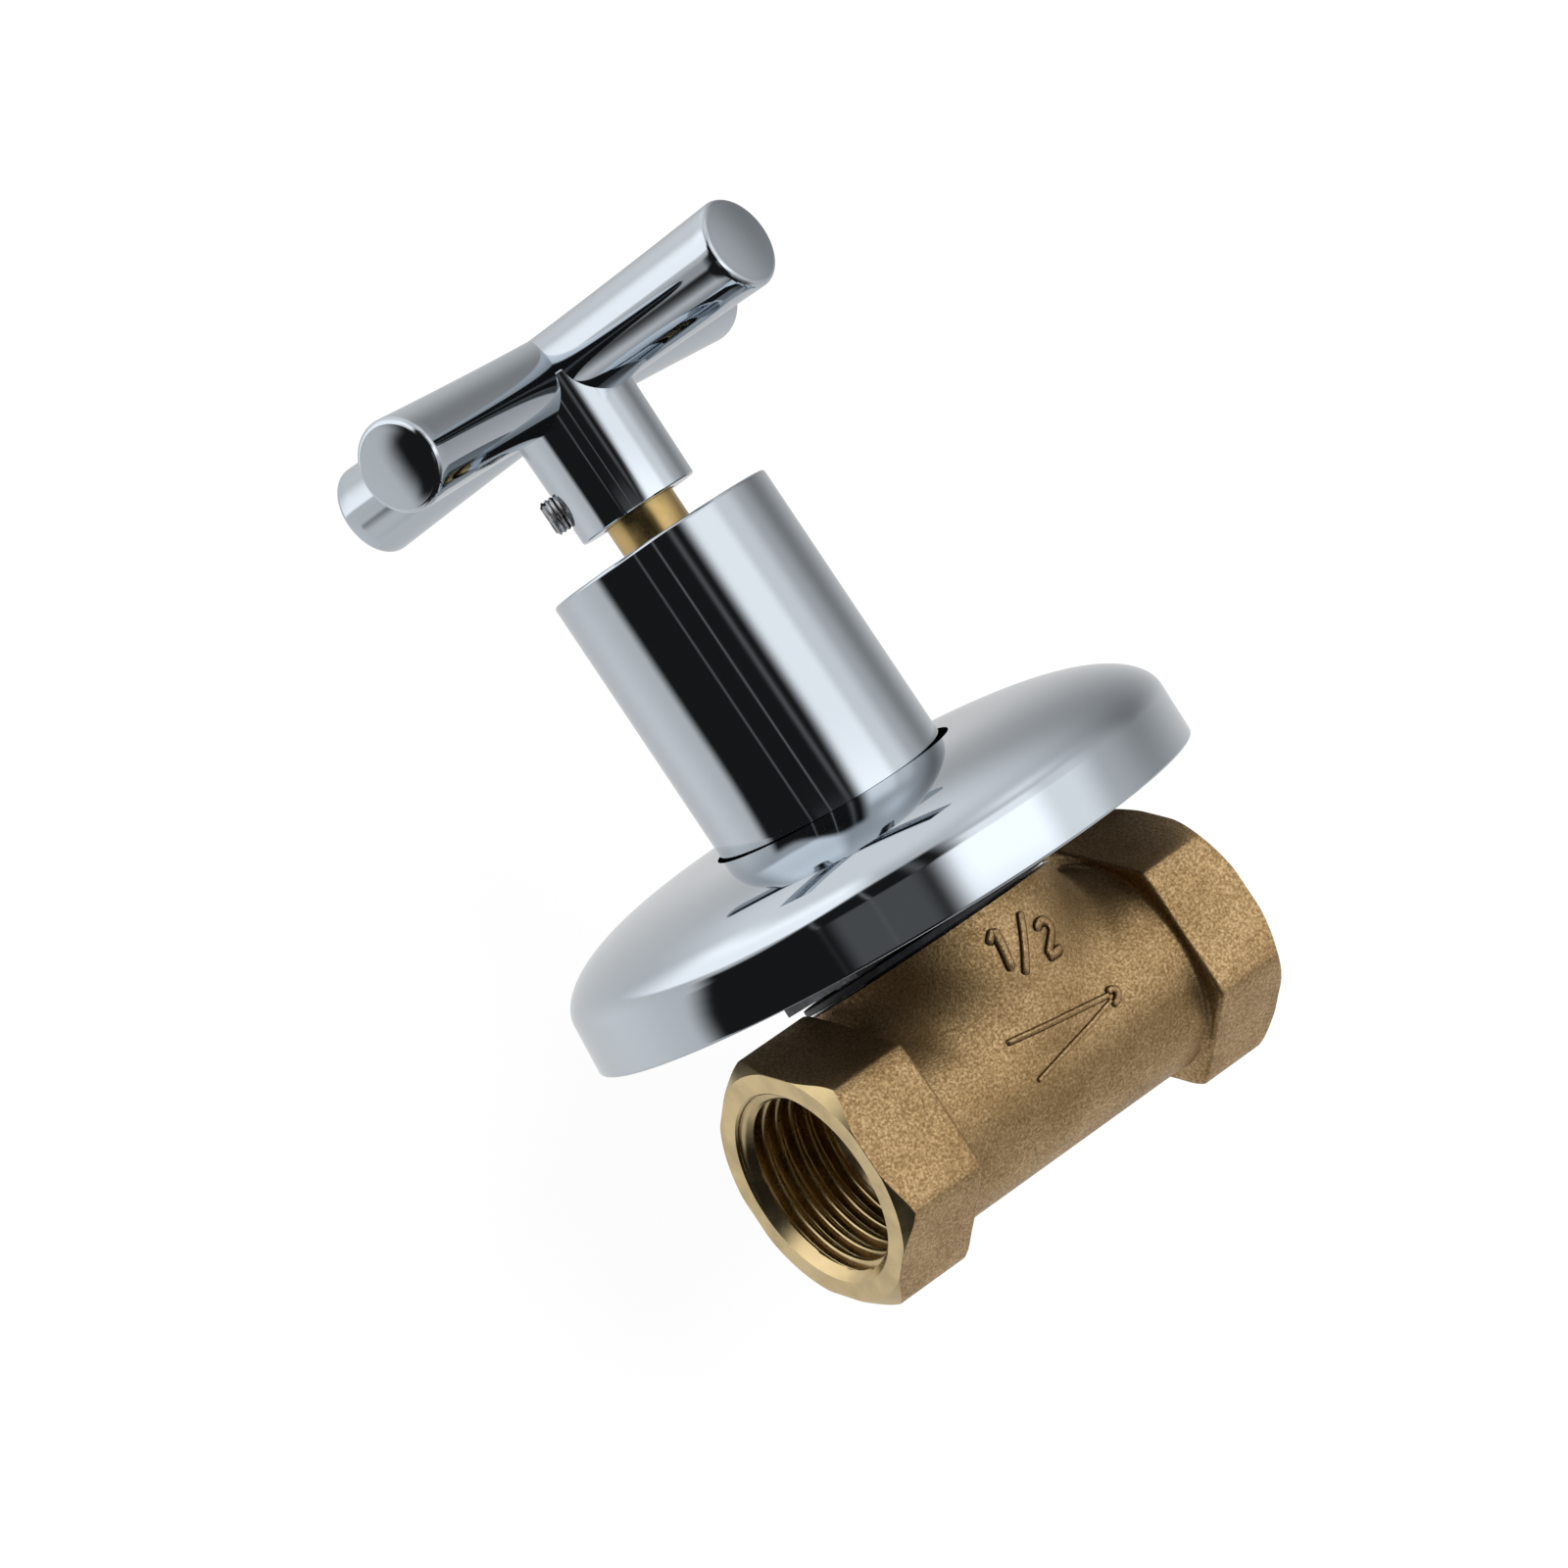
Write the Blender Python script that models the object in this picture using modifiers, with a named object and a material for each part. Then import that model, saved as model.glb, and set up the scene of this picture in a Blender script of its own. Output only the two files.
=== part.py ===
"""Concealed shower stop valve: cast brass body, rising spindle, cover sleeve, wall plate, cross handle.

The frame is the installed one. The origin is the centre of the inlet port's mouth, +Z is up, the
water flows along -X, and the stem stands out of the wall along -Y, towards the user's hand.
Lengths are in metres. Heights "up the stem" are counted from the pipe's axis.
The valve is modelled shut; opening it lifts the spindle and the jumper up the stem.
"""

import math

import bmesh
import bpy
from mathutils import Vector

MM = 0.001

# Clearances
GAP = 0.3 * MM             # between pieces that seat on each other
SEAL_GAP = 0.2 * MM        # round the rubber rings
STOP_GAP = 0.5 * MM        # left at the end of the spindle's lift
MERGE_DISTANCE = 0.004 * MM
OVERLAP = 1.0 * MM          # how far joined solids run into each other and cutters run out
TIP_CHAMFER = 0.6 * MM
EDGE_BREAK = 0.3 * MM

# Valve body: pipe, hexagon ends and boss
BODY_LENGTH = 53.0 * MM
PIPE_RADIUS = 11.5 * MM
HEX_CORNER_RADIUS = 14.5 * MM
INLET_HEX_LENGTH = 10.3 * MM
OUTLET_HEX_LENGTH = 9.3 * MM
END_FACE_RADIUS = 12.7 * MM
END_CHAMFER_LENGTH = 1.4 * MM
BOSS_RADIUS = 14.4 * MM
BOSS_HEIGHT = 13.3 * MM
BOSS_FILLET = 3.2 * MM
BOSS_FLARE_HEIGHT = 12.0 * MM
BOSS_FLARE = 3.4 * MM
FILLET_INSET = 0.35 * MM
FILLET_TOP = 9.5 * MM

# Valve body: ports, passages and seat
PORT_MOUTH_RADIUS = 10.5 * MM
PORT_RADIUS = 9.3 * MM
PORT_DEPTH = 11.5 * MM
PASSAGE_RADIUS = 8.7 * MM
CHANNEL_RADIUS = 8.4 * MM
WEB_HALF_THICKNESS = 1.3 * MM
WEB_WALL = 2.2 * MM
SEAT_RADIUS = 5.5 * MM
SEAT_LIP_WIDTH = 1.5 * MM
SEAT_LIP_HEIGHT = 1.0 * MM
STEM_CHAMBER_RADIUS = 8.8 * MM
BONNET_THREAD_RADIUS = 10.2 * MM
BONNET_THREAD_LENGTH = 6.8 * MM

# Bonnet
GASKET_THICKNESS = 0.7 * MM
BONNET_FLATS = 27.0 * MM
BONNET_HEX_HEIGHT = 5.4 * MM
NOSE_BORE_RADIUS = 8.3 * MM
SLEEVE_THREAD_RADIUS = 11.0 * MM
SLEEVE_THREAD_LENGTH = 7.6 * MM
BONNET_NECK_RADIUS = 8.6 * MM
BONNET_NECK_LENGTH = 8.2 * MM
GUIDE_LENGTH = 4.4 * MM
PACKING_BORE_RADIUS = 6.8 * MM

# Jumper with its washer
LIFT = 5.0 * MM
WASHER_RADIUS = 7.2 * MM
WASHER_THICKNESS = 2.7 * MM
JUMPER_RADIUS = 7.6 * MM
JUMPER_THICKNESS = 1.8 * MM
JUMPER_PEG_RADIUS = 2.4 * MM
JUMPER_PEG_LENGTH = 7.0 * MM
STUD_RADIUS = 1.7 * MM
PLATE_RADIUS = 4.4 * MM
PLATE_THICKNESS = 0.8 * MM
NUT_FLATS = 7.0 * MM
NUT_HEIGHT = 2.2 * MM

# Spindle and packing
COLLAR_RADIUS = 7.4 * MM
COLLAR_THICKNESS = 1.5 * MM
SPINDLE_THREAD_RADIUS = 6.0 * MM
SPINDLE_THREAD_REACH = 0.2 * MM    # above the bonnet's hexagon
SHAFT_RADIUS = 4.0 * MM
SHAFT_LENGTH = 29.0 * MM
PACKING_THICKNESS = 2.8 * MM
PACKING_WASHER_THICKNESS = 0.8 * MM
GLAND_NOSE_LENGTH = 1.8 * MM
GLAND_FLATS = 15.0 * MM
GLAND_HEX_HEIGHT = 4.6 * MM

# Spindle extension
ROD_RADIUS = 3.85 * MM
SOCKET_RADIUS = 6.2 * MM
SOCKET_LENGTH = 9.0 * MM
SOCKET_OVERLAP = 5.6 * MM
SOCKET_SCREW_RADIUS = 1.3 * MM
SOCKET_CHAMFER = 1.0 * MM

# Cover sleeve
SLEEVE_RADIUS = 12.4 * MM
SLEEVE_LENGTH = 40.7 * MM
SLEEVE_TOP_THICKNESS = 1.2 * MM
SLEEVE_EDGE = 0.4 * MM
SLEEVE_HOLE_GAP = 0.7 * MM

# Wall plate
PLATE_LEAN = math.radians(6.8)
PLATE_STANDOFF = 3.8 * MM
WALL_PLATE_RADIUS = 33.7 * MM
BAND_HEIGHT = 5.3 * MM
BAND_DRAFT = 0.2 * MM
DOME_HEIGHT = 6.9 * MM
DOME_FULLNESS = 2.45        # 2 is an ellipse; more is flatter at the neck and fuller at the shoulder
WALL_PLATE_THICKNESS = 1.2 * MM
NECK_WIDTH = 2.6 * MM
NECK_LIP = 1.0 * MM

# Rubber rings
RING_THICKNESS = 1.3 * MM
SPINDLE_RING_THICKNESS = 1.6 * MM
GROOVE_PLAY = 0.2 * MM
GROOVE_LAND = 1.2 * MM

# Cross handle
HANDLE_CLEARANCE = 3.5 * MM
HUB_RADIUS = 6.7 * MM
HUB_HEIGHT = 15.4 * MM
HUB_BOTTOM_RADIUS = 6.5 * MM
HUB_SOCKET_DEPTH = 11.9 * MM
ARM_REACH = 28.5 * MM
ARM_ROOT_RADIUS = 4.4 * MM
ARM_TIP_RADIUS = 4.85 * MM
ARM_EDGE = 0.7 * MM
ARM_CROWN = 0.3 * MM
HANDLE_TURN = math.radians(22.0)
GRUB_TURN = HANDLE_TURN - math.radians(52.0)
GRUB_RADIUS = 1.9 * MM
GRUB_HEIGHT = 4.0 * MM
GRUB_STAND = 1.4 * MM
GRUB_SLOT = 0.7 * MM

# Facets round each kind of piece
LARGE_SIDES = 56
MIDDLE_SIDES = 40
SMALL_SIDES = 28
RING_SIDES = 6

# Places along the pipe, from the inlet's mouth
STEM_PLACE = BODY_LENGTH / 2
INLET_HEX_END = INLET_HEX_LENGTH
OUTLET_HEX_START = BODY_LENGTH - OUTLET_HEX_LENGTH

# Places up the stem, from the pipe's axis
SEAT_TOP = WEB_HALF_THICKNESS + SEAT_LIP_HEIGHT
WASHER_BOTTOM = SEAT_TOP + GAP
JUMPER_BOTTOM = WASHER_BOTTOM + WASHER_THICKNESS + GAP
JUMPER_TOP = JUMPER_BOTTOM + JUMPER_THICKNESS
PLATE_TOP = WASHER_BOTTOM - GAP
NUT_TOP = PLATE_TOP - PLATE_THICKNESS - GAP
SPINDLE_BOTTOM = JUMPER_TOP + GAP
COLLAR_TOP = SPINDLE_BOTTOM + COLLAR_THICKNESS
GASKET_BOTTOM = BOSS_HEIGHT + GAP
BONNET_SEAT = GASKET_BOTTOM + GASKET_THICKNESS + GAP
NOSE_BOTTOM = BOSS_HEIGHT - BONNET_THREAD_LENGTH + GAP
BONNET_SHOULDER = COLLAR_TOP + LIFT + STOP_GAP
BONNET_HEX_TOP = BONNET_SEAT + BONNET_HEX_HEIGHT
SLEEVE_BOTTOM = BONNET_HEX_TOP + GAP
THREAD_TOP = BONNET_HEX_TOP + SPINDLE_THREAD_REACH
SPINDLE_TOP = THREAD_TOP + SHAFT_LENGTH
BONNET_NECK_BOTTOM = SLEEVE_BOTTOM + SLEEVE_THREAD_LENGTH
BONNET_TOP = BONNET_NECK_BOTTOM + BONNET_NECK_LENGTH
THREAD_BORE_TOP = THREAD_TOP + LIFT + STOP_GAP
PACKING_FLOOR = THREAD_BORE_TOP + GUIDE_LENGTH
PACKING_WASHER_BOTTOM = PACKING_FLOOR + GAP
PACKING_BOTTOM = PACKING_WASHER_BOTTOM + PACKING_WASHER_THICKNESS + GAP
GLAND_BOTTOM = PACKING_BOTTOM + PACKING_THICKNESS + GAP
GLAND_HEX_BOTTOM = max(BONNET_TOP + GAP, GLAND_BOTTOM + GLAND_NOSE_LENGTH)
GLAND_TOP = GLAND_HEX_BOTTOM + GLAND_HEX_HEIGHT
SLEEVE_TOP = SLEEVE_BOTTOM + SLEEVE_LENGTH
SOCKET_BOTTOM = SPINDLE_TOP - SOCKET_OVERLAP
SOCKET_TOP = SOCKET_BOTTOM + SOCKET_LENGTH
HUB_BOTTOM = SLEEVE_TOP + HANDLE_CLEARANCE
ARM_PLANE = HUB_BOTTOM + HUB_HEIGHT
ROD_TOP = HUB_BOTTOM + HUB_SOCKET_DEPTH
PLATE_BACK = HEX_CORNER_RADIUS + PLATE_STANDOFF
BAND_TOP = PLATE_BACK + BAND_HEIGHT
DOME_TOP = BAND_TOP + DOME_HEIGHT

# Radii that follow from the pieces they fit
SLEEVE_BORE_RADIUS = SLEEVE_THREAD_RADIUS + GAP
SHAFT_BORE_RADIUS = SHAFT_RADIUS + GAP
THREAD_BORE_RADIUS = SPINDLE_THREAD_RADIUS + GAP
PLATE_RING_RADIUS = SLEEVE_RADIUS + SEAL_GAP + RING_THICKNESS

# The wall plate rocks on its rubber ring, so its neck has a chamber with room for that
CHAMBER_HALF = RING_THICKNESS / 2 + GROOVE_PLAY + PLATE_RING_RADIUS * math.sin(PLATE_LEAN)
PLATE_PIVOT = DOME_TOP - NECK_LIP - CHAMBER_HALF
NECK_ROOM = (CHAMBER_HALF + NECK_LIP) * math.sin(PLATE_LEAN)
NECK_BORE_RADIUS = (SLEEVE_RADIUS + SEAL_GAP + NECK_ROOM) / math.cos(PLATE_LEAN)


def new_collection(name):
    """A collection linked to the scene."""
    collection = bpy.data.collections.new(name)
    bpy.context.scene.collection.children.link(collection)
    return collection


def new_material(name, colour, metallic, roughness):
    """A Principled material of one colour."""
    material = bpy.data.materials.new(name)
    material.use_nodes = True
    shader = material.node_tree.nodes["Principled BSDF"]
    shader.inputs["Base Color"].default_value = (*colour, 1.0)
    shader.inputs["Metallic"].default_value = metallic
    shader.inputs["Roughness"].default_value = roughness
    material.diffuse_color = (*colour, 1.0)
    return material


for old in list(bpy.data.objects):
    bpy.data.objects.remove(old, do_unlink=True)

VALVE = new_collection("shower_stop_valve")
CUTTERS = new_collection("cutters")

CHROME = new_material("chrome plate", (0.78, 0.79, 0.81), 1.0, 0.06)
CAST_BRASS = new_material("sand-cast brass", (0.44, 0.30, 0.15), 1.0, 0.5)
TURNED_BRASS = new_material("turned brass", (0.72, 0.52, 0.24), 1.0, 0.28)
RUBBER = new_material("black rubber", (0.03, 0.03, 0.035), 0.0, 0.65)
PACKING_WHITE = new_material("packing", (0.85, 0.84, 0.80), 0.0, 0.5)
STEEL = new_material("steel", (0.5, 0.5, 0.52), 1.0, 0.3)


def new_axis(name, place, turn):
    """An empty that carries the pieces turned round it; its local Z is the axis."""
    axis = bpy.data.objects.new(name, None)
    axis.empty_display_size = 10 * MM
    axis.location = place
    axis.rotation_euler = turn
    VALVE.objects.link(axis)
    return axis


PIPE_AXIS = new_axis("pipe_axis", (0, 0, 0), (0, -math.pi / 2, 0))
STEM_AXIS = new_axis("stem_axis", (-STEM_PLACE, 0, 0), (math.pi / 2, 0, 0))

# The plate's own axis leans about the pivot, and meets the pipe's axis this far from the stem's
PLATE_SHIFT = (-PLATE_PIVOT * (1 - math.cos(PLATE_LEAN)), -PLATE_PIVOT * math.sin(PLATE_LEAN))
PLATE_AXIS = new_axis("plate_axis", (-STEM_PLACE, *PLATE_SHIFT), (math.pi / 2 - PLATE_LEAN, 0, 0))


def add_object(name, mesh, material, axis):
    """Put a mesh in the valve's collection, or among the cutters if it has no material."""
    piece = bpy.data.objects.new(name, mesh)
    piece.parent = axis
    if material is None:
        CUTTERS.objects.link(piece)
        piece.hide_render = True
        piece.display_type = "WIRE"
    else:
        VALVE.objects.link(piece)
        mesh.materials.append(material)
    return piece


def turned(name, outline, material, axis, sides=MIDDLE_SIDES):
    """A turned piece: (radius, height) points run down the outside and back up the bore."""
    mesh = bpy.data.meshes.new(name)
    solid = outline[0][0] == 0 and outline[-1][0] == 0
    count = len(outline)
    edges = [(i, i + 1) for i in range(count - 1)]
    if not solid:
        edges.append((count - 1, 0))
    mesh.from_pydata([(radius, 0, height) for radius, height in outline], edges, [])
    piece = add_object(name, mesh, material, axis)
    screw = piece.modifiers.new("turn", "SCREW")
    screw.axis = "Z"
    screw.angle = 2 * math.pi
    screw.steps = sides
    screw.render_steps = sides
    screw.use_merge_vertices = True
    screw.merge_threshold = MERGE_DISTANCE
    screw.use_smooth_shade = True
    return piece


def plain_cutter(name, radius, low, high, axis, sides=SMALL_SIDES):
    """A round cutter between two heights."""
    return turned(name, [(0, high), (radius, high), (radius, low), (0, low)], None, axis, sides)


def prism(name, flats, low, high, material, axis):
    """A hexagonal prism between two heights, of a given size across flats, corners on local Y."""
    mesh = bpy.data.meshes.new(name)
    shape = bmesh.new()
    corner = flats / math.sqrt(3)
    bmesh.ops.create_cone(
        shape, cap_ends=True, segments=6, radius1=corner, radius2=corner, depth=high - low
    )
    shape.to_mesh(mesh)
    shape.free()
    piece = add_object(name, mesh, material, axis)
    piece.location = (0, 0, (low + high) / 2)
    return piece


def combine(piece, other, operation):
    """Boolean one object with another, which becomes a cutter or a guide."""
    modifier = piece.modifiers.new(f"{operation.lower()} {other.name}", "BOOLEAN")
    modifier.operation = operation
    modifier.solver = "EXACT"
    modifier.object = other
    other.hide_render = True
    other.display_type = "WIRE"
    return piece


def cut(piece, *others):
    """Cut each of the others out of a piece."""
    for other in others:
        combine(piece, other, "DIFFERENCE")
    return piece


def weld(piece):
    """Merge the points that a chain of cuts leaves closer together than the merge distance."""
    modifier = piece.modifiers.new("weld", "WELD")
    modifier.merge_threshold = MERGE_DISTANCE
    return piece


def join(piece, *others):
    """Join each of the others to a piece, as one solid."""
    for other in others:
        combine(piece, other, "UNION")
    return piece


def arc(centre, radius, start, end, steps):
    """Points of an arc in the (radius, height) plane, from one angle in degrees to another."""
    points = []
    for step in range(steps + 1):
        angle = math.radians(start + (end - start) * step / steps)
        points.append((centre[0] + radius * math.cos(angle), centre[1] + radius * math.sin(angle)))
    return points


def rubber_ring(name, inner_radius, thickness, height, sides=SMALL_SIDES):
    """An O-ring round the stem, as a turned hexagon."""
    middle = (inner_radius + thickness / 2, height)
    outline = arc(middle, thickness / 2, 90, -270, RING_SIDES)[:-1]
    return turned(name, outline, RUBBER, STEM_AXIS, sides)


def smooth_max(first, second, blend):
    """The larger of two lengths, rounded over where they are within the blend of each other."""
    overlap = max(blend - abs(first - second), 0) / blend
    return max(first, second) + overlap * overlap * blend / 4


def boss_radius_at(height):
    """The boss's radius at a height up the stem: it widens from inside the pipe to its top."""
    rise = min(max(height / BOSS_FLARE_HEIGHT, -1), 1)
    return BOSS_RADIUS - BOSS_FLARE * (1 - rise) ** 2


def casting_radius(offset, angle):
    """Distance from the pipe's axis to the skin of the pipe with its fillet to the boss.

    offset is the distance along the pipe from the stem; angle is counted from the stem.
    The boss is a vertical wall, so the distance to it is found by halving.
    """
    low, high = 0.0, 2 * BOSS_HEIGHT
    for _ in range(24):
        middle = (low + high) / 2
        height = middle * math.cos(angle)
        side = middle * math.sin(angle)
        inside = math.hypot(offset, side) < boss_radius_at(height) - FILLET_INSET
        if inside and -PIPE_RADIUS / 2 < height < FILLET_TOP:
            low = middle
        else:
            high = middle
    return smooth_max(PIPE_RADIUS, low, BOSS_FILLET)


def casting_middle():
    """The pipe between the hexagon ends with its fillet to the boss, lofted along the pipe."""
    columns = 48
    steps = 12
    offsets = [INLET_HEX_END - OVERLAP - STEM_PLACE, INLET_HEX_END + OVERLAP - STEM_PLACE]
    for step in range(steps + 1):
        offsets.append(BOSS_RADIUS * math.sin(math.pi * (step / steps - 0.5)))
    offsets += [OUTLET_HEX_START - OVERLAP - STEM_PLACE, OUTLET_HEX_START + OVERLAP - STEM_PLACE]
    mesh = bpy.data.meshes.new("casting_middle")
    shape = bmesh.new()
    rings = []
    for offset in sorted(offsets):
        ring = []
        for column in range(columns):
            turn = 2 * math.pi * column / columns
            angle = turn - 0.35 * math.sin(turn)
            radius = casting_radius(offset, angle)
            place = Vector((radius * math.sin(angle), -radius * math.cos(angle), STEM_PLACE + offset))
            ring.append(shape.verts.new(place))
        rings.append(ring)
    for near, far in zip(rings, rings[1:]):
        for column in range(columns):
            following = (column + 1) % columns
            shape.faces.new((near[column], near[following], far[following], far[column]))
    shape.faces.new(rings[0])
    shape.faces.new(rings[-1])
    bmesh.ops.recalc_face_normals(shape, faces=shape.faces)
    bmesh.ops.triangulate(shape, faces=shape.faces)
    shape.to_mesh(mesh)
    shape.free()
    return mesh


def boss():
    """The boss itself, turned round the stem from inside the pipe up to its flat face."""
    levels = 6
    outline = [(0, BOSS_HEIGHT)]
    for level in range(levels + 1):
        height = BOSS_HEIGHT * (1 - level / levels)
        outline.append((boss_radius_at(height), height))
    outline.append((0, 0))
    return turned("boss", outline, None, STEM_AXIS)


def hex_end(name, low, high, outer):
    """A hexagon end with its mouth side turned to a round chamfer; outer is the mouth's place."""
    corner_flats = HEX_CORNER_RADIUS * math.sqrt(3)
    end = prism(name, corner_flats, low, high, None, PIPE_AXIS)
    inner = high if outer == low else low
    direction = 1 if inner > outer else -1
    wide = HEX_CORNER_RADIUS + OVERLAP
    slope = (HEX_CORNER_RADIUS - END_FACE_RADIUS) / END_CHAMFER_LENGTH
    full = outer + direction * (wide - END_FACE_RADIUS) / slope
    beyond = inner + direction * OVERLAP
    outline = [(0, outer), (END_FACE_RADIUS, outer), (wide, full), (wide, beyond), (0, beyond)]
    if direction > 0:
        outline.reverse()
    envelope = turned(f"{name}_envelope", outline, None, PIPE_AXIS)
    combine(end, envelope, "INTERSECT")
    return end


def port_cutter(name, mouth, inward, passage_end):
    """A port: countersunk mouth, thread bore, and the passage up to the web."""
    outside = mouth - inward * OVERLAP
    lead = PORT_MOUTH_RADIUS - PORT_RADIUS
    flare = PORT_MOUTH_RADIUS + OVERLAP
    bottom = mouth + inward * PORT_DEPTH
    step = PORT_RADIUS - PASSAGE_RADIUS
    outline = [
        (0, outside),
        (flare, outside),
        (PORT_RADIUS, mouth + inward * lead),
        (PORT_RADIUS, bottom),
        (PASSAGE_RADIUS, bottom + inward * step),
        (PASSAGE_RADIUS, passage_end),
        (0, passage_end),
    ]
    if inward > 0:
        outline.reverse()
    return turned(name, outline, None, PIPE_AXIS)


def half_channel(name, start, end, above):
    """A passage beside the web: the part of a round channel above or below it."""
    mesh = bpy.data.meshes.new(name)
    shape = bmesh.new()
    bmesh.ops.create_cone(
        shape, cap_ends=True, segments=MIDDLE_SIDES,
        radius1=CHANNEL_RADIUS, radius2=CHANNEL_RADIUS, depth=end - start,
    )
    side = -1 if above else 1
    cap = bmesh.ops.bisect_plane(
        shape, geom=shape.verts[:] + shape.edges[:] + shape.faces[:],
        plane_co=(0, side * WEB_HALF_THICKNESS, 0), plane_no=(0, -side, 0), clear_outer=True,
    )
    rim = [item for item in cap["geom_cut"] if isinstance(item, bmesh.types.BMEdge)]
    bmesh.ops.edgenet_fill(shape, edges=rim)
    bmesh.ops.recalc_face_normals(shape, faces=shape.faces)
    shape.to_mesh(mesh)
    shape.free()
    channel = add_object(name, mesh, None, PIPE_AXIS)
    channel.location = (0, 0, (start + end) / 2)
    return channel


def valve_body():
    """The casting: pipe with hexagon ends, boss, both ports, the web between them and the seat."""
    body = add_object("valve_body", casting_middle(), CAST_BRASS, PIPE_AXIS)
    join(body, hex_end("inlet_hex", 0, INLET_HEX_END, 0))
    join(body, hex_end("outlet_hex", OUTLET_HEX_START, BODY_LENGTH, BODY_LENGTH))
    join(body, boss())
    upper_end = STEM_PLACE - STEM_CHAMBER_RADIUS - WEB_WALL
    lower_end = STEM_PLACE + SEAT_RADIUS + SEAT_LIP_WIDTH
    outlet_end = lower_end + WEB_WALL
    inlet = port_cutter("inlet_port", 0, 1, upper_end)
    outlet = port_cutter("outlet_port", BODY_LENGTH, -1, outlet_end)
    under = half_channel("channel_under_seat", upper_end - OVERLAP, lower_end, False)
    over = half_channel("channel_over_seat", STEM_PLACE, outlet_end + OVERLAP, True)
    lip_radius = SEAT_RADIUS + SEAT_LIP_WIDTH
    chamber_top = BOSS_HEIGHT - BONNET_THREAD_LENGTH
    bore_radius = BONNET_THREAD_RADIUS + GAP
    above = BOSS_HEIGHT + OVERLAP
    chamber = turned("stem_chamber", [
        (0, above),
        (bore_radius, above),
        (bore_radius, chamber_top),
        (STEM_CHAMBER_RADIUS, chamber_top),
        (STEM_CHAMBER_RADIUS, WEB_HALF_THICKNESS),
        (lip_radius, WEB_HALF_THICKNESS),
        (lip_radius, SEAT_TOP),
        (0, SEAT_TOP),
    ], None, STEM_AXIS)
    seat = plain_cutter("seat_hole", SEAT_RADIUS, -2 * WEB_HALF_THICKNESS, 2 * SEAT_TOP, STEM_AXIS)
    spot_radius = BONNET_FLATS / math.sqrt(3) + GAP
    spot_top = HEX_CORNER_RADIUS + OVERLAP
    spot_face = plain_cutter("spot_face", spot_radius, BOSS_HEIGHT, spot_top, STEM_AXIS, MIDDLE_SIDES)
    return weld(cut(body, inlet, outlet, under, over, chamber, seat, spot_face))


def bonnet_gasket():
    """The flat ring between the boss's face and the bonnet's hexagon."""
    inner = BONNET_THREAD_RADIUS + 2 * GAP
    top = GASKET_BOTTOM + GASKET_THICKNESS
    outer = BOSS_RADIUS - GAP
    outline = [(outer, top), (outer, GASKET_BOTTOM), (inner, GASKET_BOTTOM), (inner, top)]
    return turned("bonnet_gasket", outline, RUBBER, STEM_AXIS)


def bonnet():
    """The bonnet: threaded nose, hexagon, sleeve thread with a ring groove, neck and packing bore."""
    groove_high = BONNET_NECK_BOTTOM - GROOVE_LAND
    groove_low = groove_high - RING_THICKNESS - 2 * GROOVE_PLAY
    groove_radius = SLEEVE_BORE_RADIUS - 2 * SEAL_GAP - RING_THICKNESS
    ring_low = spindle_ring_height() - SPINDLE_RING_THICKNESS / 2 - GROOVE_PLAY
    ring_high = ring_low + SPINDLE_RING_THICKNESS + 2 * GROOVE_PLAY
    ring_radius = SHAFT_RADIUS + 2 * SEAL_GAP + SPINDLE_RING_THICKNESS
    piece = turned("bonnet", [
        (BONNET_NECK_RADIUS, BONNET_TOP),
        (BONNET_NECK_RADIUS, BONNET_NECK_BOTTOM),
        (SLEEVE_THREAD_RADIUS, BONNET_NECK_BOTTOM),
        (SLEEVE_THREAD_RADIUS, groove_high),
        (groove_radius, groove_high),
        (groove_radius, groove_low),
        (SLEEVE_THREAD_RADIUS, groove_low),
        (SLEEVE_THREAD_RADIUS, BONNET_SEAT + GAP),
        (BONNET_THREAD_RADIUS, BONNET_SEAT + GAP),
        (BONNET_THREAD_RADIUS, NOSE_BOTTOM),
        (NOSE_BORE_RADIUS, NOSE_BOTTOM),
        (NOSE_BORE_RADIUS, BONNET_SHOULDER),
        (THREAD_BORE_RADIUS, BONNET_SHOULDER),
        (THREAD_BORE_RADIUS, THREAD_BORE_TOP),
        (SHAFT_BORE_RADIUS, THREAD_BORE_TOP),
        (SHAFT_BORE_RADIUS, ring_low),
        (ring_radius, ring_low),
        (ring_radius, ring_high),
        (SHAFT_BORE_RADIUS, ring_high),
        (SHAFT_BORE_RADIUS, PACKING_FLOOR),
        (PACKING_BORE_RADIUS, PACKING_FLOOR),
        (PACKING_BORE_RADIUS, BONNET_TOP),
    ], TURNED_BRASS, STEM_AXIS, SMALL_SIDES)
    nut = prism("bonnet_hex", BONNET_FLATS, BONNET_SEAT, BONNET_HEX_TOP, None, STEM_AXIS)
    relief = plain_cutter("bonnet_hex_bore", BONNET_THREAD_RADIUS - OVERLAP, 0, SLEEVE_TOP, STEM_AXIS)
    cut(nut, relief)
    return join(piece, nut)


def spindle_ring_height():
    """Where the spindle's rubber ring sits in the bonnet's guide."""
    return THREAD_BORE_TOP + GUIDE_LENGTH / 2


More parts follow.
